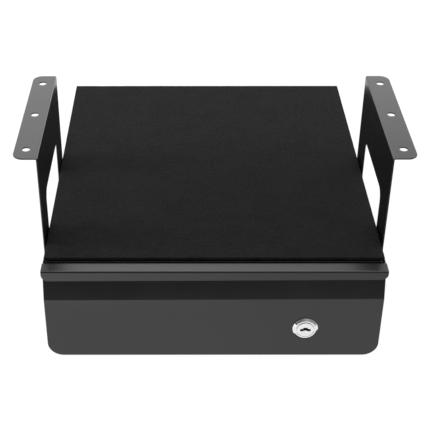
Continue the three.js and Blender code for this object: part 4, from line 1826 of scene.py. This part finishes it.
@dataclass
class DrawerTray(SubAssembly):
    """The tray behind the front, with the screws that hold it to its runners."""

    body = "drawer"
    wall: float = 134.5
    screw_ys: tuple[float, float] = RUNNER_SCREW_YS
    screw_z: float = RUNNER_Z
    reach: float = 2.5

    def build(self) -> None:
        """Dresses the tray and makes its screws."""
        self.dress("drawer_tray", POWDER, 0.25)
        for side in Side:
            for number, y in enumerate(self.screw_ys, 1):
                at = Vector((side.value * self.wall, y, self.screw_z))
                shape = RUNNER_SCREW.make(at, Vector((-side.value, 0, 0)), self.reach)
                self.hand_over(shape, f"{side.word}_tray_screw_{number}")


@dataclass
class Runner(SubAssembly):
    """One ball bearing runner: three nested members, two cages with balls, and its screws."""

    side: Side
    wall: float = 148.5
    centre: float = RUNNER_Z
    depth: float = 12.7
    height: float = 35.0
    gauge: float = SHEET
    bend: float = 0.5
    gap: float = 1.2
    lip: float = 1.5
    seat: float = 0.3
    ball: float = 3.2
    play: float = 0.06
    cage_gauge: float = 0.5
    front: float = -167.0
    length: float = 300.0
    middle_length: float = 290.0
    travel: float = 280.0
    balls: int = 5
    pitch: float = 22.0
    cage_end: float = 11.0
    slot_length: float = 12.0
    slot_width: float = 5.0
    slot_flat: float = 0.06
    slot_shares: tuple[float, ...] = (1 / 3, 2 / 3)
    fineness: float = 12.0
    screw_inset: float = 12.0
    screw_reach: float = 2.7
    screw_hole: float = 1.95

    def __post_init__(self) -> None:
        """Works out how the members and the balls nest, from the sleeve's side inwards."""
        thick = self.gauge / 2
        ball = self.ball / 2
        self.outer_flange = self.height / 2 - thick
        self.outer_ball = self.outer_flange - thick - self.play - ball
        self.middle_flange = self.outer_ball - ball - self.play - thick
        self.inner_ball = self.middle_flange - thick - self.play - ball
        self.inner_flange = self.inner_ball - ball - self.play - thick
        self.outer_web = thick
        self.middle_web = self.outer_web + self.gauge + self.gap
        self.inner_web = self.depth - thick
        self.outer_tip = self.inner_web - self.gauge - self.seat
        self.inner_tip = self.middle_web + self.gauge + self.gap + self.gauge

    def at(self, depth: float, height: float) -> Point:
        """A point of the runner's section, from its depth off the side and its height."""
        return self.side.value * (self.wall - depth), self.centre + height

    def member(
        self, web: float, tip: float, flange: float, turn: float, length: float, slotted: bool
    ) -> Shape:
        """Folds one member.

        Args:
            web: The depth of its web.
            tip: The depth of its turned tips.
            flange: The height of its flanges.
            turn: How far its tips turn, outwards if positive.
            length: Its length.
            slotted: Whether it has slots and screw holes.

        Returns:
            The shape.
        """
        upper = [(web, flange), (tip, flange), (tip, flange + turn)]
        corners = [*((depth, -height) for depth, height in upper[::-1]), *upper]
        places = [self.at(*corner) for corner in corners]
        path = StripPath(places, self.gauge, self.bend, self.fineness)
        low, high = self.front, self.front + length
        outline = rounded_box((0.0, low), (path.length, high), 0.5, 3)
        holes = []
        if slotted:
            middle = path.on(2, flange)
            reach, half = self.slot_length / 2, self.slot_width / 2
            for y in (self.front + share * length for share in self.slot_shares):
                low, high = (middle - half, y - reach), (middle + half, y + reach)
                holes.append(rounded_box(low, high, half - self.slot_flat, 8))
            for y in self.screw_ys():
                holes.append(circle((middle, y), self.screw_hole, 24))
        return FoldedSheet(path, self.gauge, ALONG_Y, outline, holes, 0.2).folded()

    def screw_ys(self) -> tuple[float, float]:
        """Where the runner's screws go along it."""
        return self.front + self.screw_inset, self.front + self.length - self.screw_inset

    def cage(self, web: float, depth: float, height: float, middle: float) -> Shape:
        """A cage with its balls.

        Args:
            web: The depth of its web.
            depth: The depth of its balls.
            height: The height of its balls from the runner's centre.
            middle: The middle of the cage along the runner.

        Returns:
            The shape.
        """
        reach = depth + self.ball / 2
        corners = ((reach, -height), (web, -height), (web, height), (reach, height))
        places = [self.at(*corner) for corner in corners]
        path = StripPath(places, self.cage_gauge, self.bend, self.fineness)
        half = (self.balls - 1) * self.pitch / 2 + self.cage_end
        outline = rounded_box((0.0, middle - half), (path.length, middle + half), 1.2, 4)
        shape = FoldedSheet(path, self.cage_gauge, ALONG_Y, outline, [], 0.12).folded()
        radius = self.ball / 2
        arcs = [math.pi * step / 16 for step in range(17)]
        profile = [(radius * math.sin(arc), -radius * math.cos(arc)) for arc in arcs]
        profile[0], profile[-1] = (0.0, -radius), (0.0, radius)
        for index in range(self.balls):
            y = middle + (index - (self.balls - 1) / 2) * self.pitch
            for up in (-height, height):
                x, z = self.at(depth, up)
                Lathe(Vector((x, y, z)), Vector((0, 1, 0)), sides=24).turn(profile, shape, 1)
        return shape

    def build(self) -> None:
        """Makes and dresses the runner's pieces."""
        word = self.side.word
        outer, inner, lip, length = self.outer_tip, self.inner_tip, self.lip, self.length
        for name, body, sizes in (
            ("outer", "sleeve", (self.outer_web, outer, self.outer_flange, -lip, length, True)),
            ("middle", "middle_members",
             (self.middle_web, outer, self.middle_flange, lip, self.middle_length, False)),
            ("drawer", "drawer", (self.inner_web, inner, self.inner_flange, lip, length, True)),
        ):
            self.hand_over(self.member(*sizes), f"{word}_{name}_member", body=body)
        self.cages()
        for number, y in enumerate(self.screw_ys(), 1):
            x, z = self.at(self.gauge, 0.0)
            inwards = Vector((-self.side.value, 0, 0))
            shape = RUNNER_SCREW.make(Vector((x, y, z)), inwards, self.screw_reach)
            self.hand_over(shape, f"{word}_sleeve_screw_{number}")

    def cages(self) -> None:
        """Makes the outer and the inner cage, each in the middle of its overlap when open."""
        word = self.side.word
        rear = self.front + self.middle_length - self.travel / 2
        middle = (self.front + rear) / 2 + self.travel / 4
        web = (self.outer_web + self.middle_web) / 2
        depth = (self.middle_web + self.outer_tip) / 2
        outer = self.cage(web, depth, self.outer_ball, middle)
        self.hand_over(outer, f"{word}_outer_cage", finishes=[ZINC, CHROME], body="outer_cages")
        ends = (self.front - self.travel / 2) + (self.front + self.length - self.travel)
        web = self.middle_web + (self.gauge + self.gap) / 2
        depth = (self.inner_tip + self.inner_web) / 2
        inner = self.cage(web, depth, self.inner_ball, ends / 2 + self.travel * 3 / 4)
        self.hand_over(inner, f"{word}_inner_cage", finishes=[ZINC, CHROME], body="inner_cages")


@dataclass
class CamLock(SubAssembly):
    """The cam lock: barrel with its cone ring, nut, plug with its keyway, cam and screw."""

    x: float = LOCK_X
    z: float = LOCK_Z
    seat: float = -179.8
    ring: float = 11.45
    land: float = 0.3
    face: float = 9.5
    ring_height: float = 1.9
    recess: float = 8.2
    recess_depth: float = 1.6
    body_radius: float = 9.5
    body_chamfer: float = 0.8
    flats: float = 8.2
    bore: float = 6.4
    end: float = -162.5
    plug_face: float = 7.7
    plug_proud: float = 0.4
    plug_head: float = 1.7
    plug_edge: float = 0.22
    plug_gap: float = 0.01
    pocket_edge: float = 0.05
    plug_radius: float = 6.2
    keyway_half: float = 4.7
    keyway_height: float = 2.6
    keyway_bump: float = 1.2
    keyway_depth: float = 13.0
    nut_from: float = -178.0
    nut_width: float = 24.0
    nut_height: float = 4.0
    tail_half: float = 3.8
    tail_short: float = 0.3
    tail_gap: float = 0.2
    cam_front: float = -162.2
    cam_gauge: float = 2.0
    cam_reach: float = 29.0
    cam_width: float = 13.0
    screw_radius: float = 1.8
    screw_gap: float = 0.25
    thread_from: float = -4.5
    thread_end: float = 4.6
    thread_relief: float = 4.4
    thread_depth: float = 0.55
    thread_steps: int = 84

    def barrel(self) -> Shape:
        """Turns the ring with its cone, and the threaded body with two flats behind it.

        Returns:
            The barrel.
        """
        front = self.ring_height
        reach, chamfer, steps = self.seat - self.end, self.body_chamfer, self.thread_steps
        span = -chamfer - reach - self.thread_end
        rows = [reach + chamfer + span * step / steps for step in range(steps + 1)]
        profile = [
            (self.bore, reach), (self.body_radius - chamfer, reach),
            *((self.body_radius, row) for row in rows),
            (self.body_radius, -self.thread_relief), (self.body_radius, 0.0),
        ]
        profile += rounded([
            (self.ring - 0.15, 0.0, 0.0), (self.ring, 0.0, 0.12), (self.ring, self.land, 0.2),
            (self.face, front, 0.5), (self.recess, front, 0.15),
            (self.recess, front - self.recess_depth, 0.0),
        ], 5, closed=False)
        profile += [(self.bore, front - self.recess_depth)]

        def threaded(radius: float, height: float, angle: float) -> Point:
            """Cuts the thread behind the ring, and the two flats.

            Args:
                radius: The point's radius.
                height: Its height.
                angle: Its angle.

            Returns:
                Its new radius and height.
            """
            if height > -0.01 or radius < self.bore + 0.5:
                return radius, height
            cut = 0.0
            if radius > self.body_radius - 0.1 and height < self.thread_from:
                wave = (height - angle / (2 * math.pi)) % 1.0
                cut = self.thread_depth * abs(2 * wave - 1)
            turn = abs(math.cos(angle))
            held = self.flats / turn if turn > 1e-6 else radius
            return min(radius - cut, held), height

        shape = Shape()
        Lathe(Vector((self.x, self.seat, self.z)), Vector((0, -1, 0)), sides=96).turn(
            profile, shape, closed=True, bent=threaded)
        return shape

    def across(self, low: float, high: float, front: float, back: float) -> StripPath:
        """The path of a flat piece between two places beside the axis and two along it."""
        middle = (front + back) / 2
        return StripPath([(self.x + low, middle), (self.x + high, middle)], back - front, 0.5)

    def keyway(self) -> list[Point]:
        """Draws the key's slot, which arches in the middle.

        Returns:
            The points of its outline, round the lock's axis.
        """
        half, low, bump = self.keyway_half, self.keyway_height / 2, self.keyway_bump
        wing, arch, hollow = 0.7 * low, low + 0.9 * bump, 0.7 * bump - low
        corners = [
            (-half, -low, 0.85), (-0.5 * half, -low, 0.8), (-0.25 * half, hollow, 0.6),
            (0.25 * half, hollow, 0.6), (0.5 * half, -low, 0.8), (half, -low, 0.85),
            (half, wing, 0.85), (0.55 * half, wing, 0.9), (0.28 * half, arch, 0.9),
            (-0.28 * half, arch, 0.9), (-0.55 * half, wing, 0.9), (-half, wing, 0.85),
        ]
        return rounded(corners, 5)

    def disc(
        self, shape: Shape, radius: float, front: float, back: float, edge: float, mark: int
    ) -> None:
        """Adds a disc with the keyway through it, whose walls are bare cast zinc painted dark as
        shade.

        Args:
            shape: The shape that it joins.
            radius: Its radius.
            front: Where its front face is along Y.
            back: Where its back face is.
            edge: How round its edges are.
            mark: Its material.
        """
        path = self.across(-radius, radius, front, back)
        outline = circle((radius, self.z), radius, 96)
        slot = [(radius + across, self.z + up) for across, up in self.keyway()]
        sheet = FoldedSheet(path, back - front, FACING_Y, outline, [slot], edge, 3, walls=1)
        sheet.fold(shape, mark)

    def plug(self) -> Shape:
        """Builds the plug's face, its body with the keyway's pocket, and its square tail.

        Returns:
            The plug.
        """
        shape = Shape()
        front = self.seat - self.ring_height - self.plug_proud
        back = front + self.plug_head
        self.disc(shape, self.plug_face, front, back, self.plug_edge, 0)
        depth = front + self.keyway_depth
        self.disc(shape, self.plug_radius, back + self.plug_gap, depth, self.pocket_edge, 1)
        place = Vector((self.x, depth + self.plug_gap, self.z))
        radius, length = self.plug_radius, self.end - depth
        end = [(0.0, 0.0), (radius, 0.0), (radius, length), (0.0, length)]
        Lathe(place, Vector((0, 1, 0))).turn(end, shape, 1)
        tail = self.cam_front + self.cam_gauge - self.tail_short
        half = self.tail_half
        path = self.across(-half, half, self.end, tail)
        outline = rounded_box((0.0, self.z - half), (2 * half, self.z + half), 0.5, 4)
        bore = circle((half, self.z), self.screw_radius + self.screw_gap, 32)
        FoldedSheet(path, tail - self.end, FACING_Y, outline, [bore], 0.15).fold(shape, 1)
        return shape

    def cam(self) -> Shape:
        """Cuts the flat cam with its square hole, pointing sideways while unlocked.

        Returns:
            The cam.
        """
        half = self.cam_width / 2
        back = self.cam_front + self.cam_gauge
        path = self.across(-half, self.cam_reach, self.cam_front, back)
        ends = (0.0, self.z - half), (path.length, self.z + half)
        outline = rounded_box(*ends, half - 0.05, 24)
        square = self.tail_half + self.tail_gap
        ends = (half - square, self.z - square), (half + square, self.z + square)
        hole = rounded_box(*ends, 0.5, 4)
        return FoldedSheet(path, self.cam_gauge, FACING_Y, outline, [hole], 0.25).folded()

    def build(self) -> None:
        """Makes and dresses the lock's pieces."""
        self.hand_over(self.barrel(), "lock_barrel", Slot.CHROME, [CHROME], "drawer")
        # The keyway walls and the plug's hidden body take cast zinc painted dark as shade.
        self.hand_over(self.plug(), "lock_plug", Slot.CHROME, [CHROME, CAST_SHADED], "lock")
        nut = HexNut(self.nut_width, self.nut_height, self.body_radius + 0.2, 0.7)
        backwards = Vector((0, 1, 0))
        made = nut.make(Vector((self.x, self.nut_from, self.z)), backwards)
        self.hand_over(made, "lock_nut", body="drawer")
        self.hand_over(self.cam(), "lock_cam", body="lock")
        half = self.tail_half
        head = [
            (1.5 * half, 0.0, 0.0), (1.5 * half, 1.44, 0.3), (half, 2.4, 0.5),
            (half * 0.6, 2.4, 0.0), (0.0, 2.4, 0.0)]
        screw = Fastener(head, self.screw_radius, recess_reach=2.2, recess_depth=1.4)
        seat = self.cam_front + self.cam_gauge + 0.3
        shape = screw.make(Vector((self.x, seat, self.z)), backwards, 4.0)
        self.hand_over(shape, "cam_screw", body="lock")


Level = Callable[[Tree, Socket, Socket], Socket]
Ramp = tuple[float, float, float, float]


@dataclass
class Studio:
    """A pale floor, soft light from behind and low from the left, and the photograph's camera."""

    place: Corner = (-0.0268, -0.8934, 0.6288)
    tilt: float = 56.441
    roll: float = -0.03
    lens: float = 85.87
    sensor: float = 36.0
    shift: float = 0.0731
    ambient: float = 0.48
    stage_roughness: float = 0.9
    floor_colour: Colour = (0.8, 0.8, 0.8)
    floor_reach: float = 4.0
    floor_glow: float = 1.1
    floor_gloss: float = 1.12
    floor_white: float = 0.88
    floor_ahead: Ramp = (-0.25, -0.29, 0.0, 1.0)
    floor_left: Ramp = (-0.2, 0.05, 0.38, 0.0)
    floor_right: Ramp = (0.0, 0.1, 0.01, 0.08)
    floor_edge: Ramp = (0.17, 0.26, 0.0, 0.6)
    card_colour: Colour = (0.02, 0.02, 0.02)
    front_bands: tuple[Ramp, ...] = (
        (-0.2, 0.2, 0.06, 0.17), (-0.2, 0.2, 0.2, 0.32),
        (-0.2, 0.12, 0.05, 0.2), (-0.1, 0.2, 0.1, 0.34))
    front_steps: tuple[Point, ...] = ((0.06, 0.1), (0.12, 0.16), (0.2, 0.26))
    back_left: Ramp = (0.4, 0.85, 1.2, 1.82)
    back_left_end: Point = (1.5, 1.5)
    back_right: Ramp = (0.4, 1.5, 2.3, 0.86)
    back_sides: Point = (0.0, 0.5)
    box_edge: Point = (2.1, 2.5)
    box_level: float = 3.0

    def camera(self) -> None:
        """Puts the camera where the photograph was taken from."""
        lens = bpy.data.cameras.new("camera")
        lens.lens, lens.sensor_width, lens.shift_x = self.lens, self.sensor, self.shift
        lens.clip_start, lens.clip_end = 0.05, 50.0
        camera = linked("camera", lens)
        turn = Matrix.Rotation(math.radians(self.tilt), 4, "X")
        turn = turn @ Matrix.Rotation(math.radians(self.roll), 4, "Z")
        camera.matrix_world = Matrix.Translation(self.place) @ turn
        bpy.context.scene.camera = camera

    def seen_share(self, nodes: Tree) -> Socket:
        """Tells the rays that show the surround from those that only light the piece.

        Args:
            nodes: The tree that it joins.

        Returns:
            What is 1 for camera, glossy and transmission rays and 0 for the rest.
        """
        path = nodes.add("ShaderNodeLightPath").outputs
        seen = nodes.maths("MAXIMUM", path["Is Camera Ray"], path["Is Glossy Ray"])
        return nodes.maths("MAXIMUM", seen, path["Is Transmission Ray"])

    def world(self) -> None:
        """A white surround that lights the piece less than it shows."""
        world = bpy.data.worlds.new("surround")
        world.use_nodes = True
        nodes = Tree(world.node_tree)
        inputs = world.node_tree.nodes["Background"].inputs
        strength = nodes.between(self.seen_share(nodes), self.ambient, 1.0)
        nodes.feed_all(inputs, {"Color": (1.0, 1.0, 1.0, 1.0), "Strength": strength})
        bpy.context.scene.world = world

    def panel(self, name: str, low: Point, high: Point, upright: float | None) -> bpy.types.Object:
        """A flat rectangle for the studio.

        Args:
            name: Its name.
            low: Its low corner.
            high: Its high corner.
            upright: Where it stands along Y, or None where it lies on the ground.

        Returns:
            The object.
        """
        corners = [low, (high[0], low[1]), high, (low[0], high[1])]
        points = [(x, y, 0.0) if upright is None else (x, upright, y) for x, y in corners]
        mesh = bpy.data.meshes.new(name)
        mesh.from_pydata(points, [], [(0, 1, 2, 3)])
        made = linked(name, mesh)
        return made

    def floor(self) -> None:
        """A pale floor that shows as white but keeps a faint shadow.

        Gloss sees it a little brighter in front on the left and darker on the right, as a sheet
        of paper lit from the left is.
        """
        reach = self.floor_reach
        made = self.panel("floor", (-reach, -reach), (reach, reach), None)
        material, nodes, inputs = new_material("pale_floor")
        nodes.feed_all(inputs, {
            "Base Color": (*self.floor_colour, 1.0),
            "Roughness": self.stage_roughness,
            "Specular IOR Level": 0.0,
        })
        places = nodes.along()
        ahead = nodes.spread(places["Y"], *self.floor_ahead)
        lift = nodes.times(ahead, nodes.spread(places["X"], *self.floor_left))
        fade = nodes.spread(places["X"], *self.floor_right)
        edge = nodes.spread(places["X"], *self.floor_edge)
        gloss = nodes.minus(nodes.minus(nodes.plus(self.floor_gloss, lift), fade), edge)
        rays = nodes.add("ShaderNodeLightPath").outputs["Is Glossy Ray"]
        strength = nodes.between(rays, self.floor_glow, gloss)
        glow = nodes.add("ShaderNodeEmission", {"Strength": strength}).outputs[0]
        share = nodes.between(self.seen_share(nodes), 0.0, self.floor_white)
        shader = nodes.tree.nodes["Principled BSDF"].outputs[0]
        mix = nodes.add("ShaderNodeMixShader", {0: share, 1: shader, 2: glow})
        nodes.feed(nodes.tree.nodes["Material Output"].inputs["Surface"], mix.outputs[0])
        made.data.materials.append(material)

    def card(self, name: str, low: Point, high: Point, upright: float, level: Level) -> None:
        """Adds an upright card that only gloss shows.

        Args:
            name: Its name.
            low: Its low corner, across and up.
            high: Its high corner.
            upright: Where it stands along Y.
            level: Makes its brightness from the places across and up.
        """
        made = self.panel(name, low, high, upright)
        material, nodes, inputs = new_material(name)
        places = nodes.along()
        nodes.feed_all(inputs, {
            "Base Color": (*self.card_colour, 1.0),
            "Roughness": self.stage_roughness,
            "Emission Color": (1.0, 1.0, 1.0, 1.0),
            "Emission Strength": level(nodes, places["X"], places["Z"]),
        })
        made.data.materials.append(material)
        for kind in ("camera", "diffuse", "shadow", "transmission"):
            setattr(made, f"visible_{kind}", False)

    def front_level(self, nodes: Tree, across: Socket, up: Socket) -> Socket:
        """The card in front of the drawer is grey, brighter on the right, with a dark band across.

        Args:
            nodes: The card's nodes.
            across: The place across it.
            up: The place up it.

        Returns:
            Its brightness.
        """
        level, *bands = (nodes.spread(across, *band) for band in self.front_bands)
        for step, band in zip(self.front_steps, bands):
            level = nodes.spread(up, *step, level, band)
        return level

    def back_level(self, nodes: Tree, across: Socket, up: Socket) -> Socket:
        """The card behind dims upwards, faster on the right, up to the bright box over the piece.

        Args:
            nodes: The card's nodes.
            across: The place across it.
            up: The place up it.

        Returns:
            Its brightness.
        """
        end, end_level = self.back_left_end
        low = nodes.spread(up, *self.back_left)
        left = nodes.spread(up, self.back_left[1], end, low, end_level)
        right = nodes.spread(up, *self.back_right)
        wide = nodes.spread(across, *self.back_sides, left, right)
        return nodes.spread(up, *self.box_edge, wide, self.box_level)

    def light(self, name: str, place: Corner, target: Corner, size: Point, glow: float) -> None:
        """Adds a soft rectangular light.

        Args:
            name: Its name.
            place: Its middle.
            target: What it faces.
            size: Its width and height.
            glow: How bright its face is, where 1 is white.
        """
        lamp = bpy.data.lights.new(name, "AREA")
        lamp.shape = "RECTANGLE"
        lamp.size, lamp.size_y = size
        lamp.energy = glow * math.pi * size[0] * size[1]
        made = linked(name, lamp)
        made.location = place
        made.rotation_euler = (Vector(target) - Vector(place)).to_track_quat("-Z", "Y").to_euler()
        made.visible_camera = made.visible_glossy = False

    def build(self) -> None:
        """Sets the whole studio up."""
        bpy.context.scene.view_settings.view_transform = "Standard"
        self.camera()
        self.world()
        self.floor()
        self.card(
            "front_card", low=(-1.2, 0.0), high=(1.2, 0.42), upright=-0.44, level=self.front_level)
        self.card("back_card", low=(-2.4, 0.0), high=(2.4, 9.0), upright=1.6, level=self.back_level)
        piece = (0.0, 0.0, 0.1)
        self.light("back_box", place=(-0.15, 1.5, 1.45), target=piece, size=(3.2, 2.2), glow=0.45)
        self.light("left_box", place=(-1.2, 1.6, 1.5), target=piece, size=(2.2, 2.2), glow=0.33)
        self.light(
            "low_box", place=(-1.5, -0.06, 0.55), target=(0.0, -0.06, 0.1), size=(0.5, 0.4),
            glow=18.0)
        LOG.info("studio: camera, floor, cards and lights")


def main() -> None:
    """Builds the sub-assemblies in order and reports each piece."""
    logging.basicConfig(level=logging.INFO, format="%(name)s: %(message)s")
    Studio().build()
    Sleeve().build()
    for side in Side:
        Bracket(side).build()
        Runner(side).build()
    mat = FeltPad(
        "top_mat", low=(-149.3, -167.5, 99.4), high=(149.3, 168.5, 102.5),
        carrier="sleeve", rests_on="top_plate")
    mat.build()
    DrawerFront().build()
    DrawerTray().build()
    liner = FeltPad(
        "drawer_liner", low=(-133.0, -154.2, 10.3), high=(133.0, 146.5, 12.8),
        carrier="drawer", rests_on="drawer_tray", edge=0.8, cell=5.0)
    liner.build()
    CamLock().build()


if __name__ == "__main__":
    main()
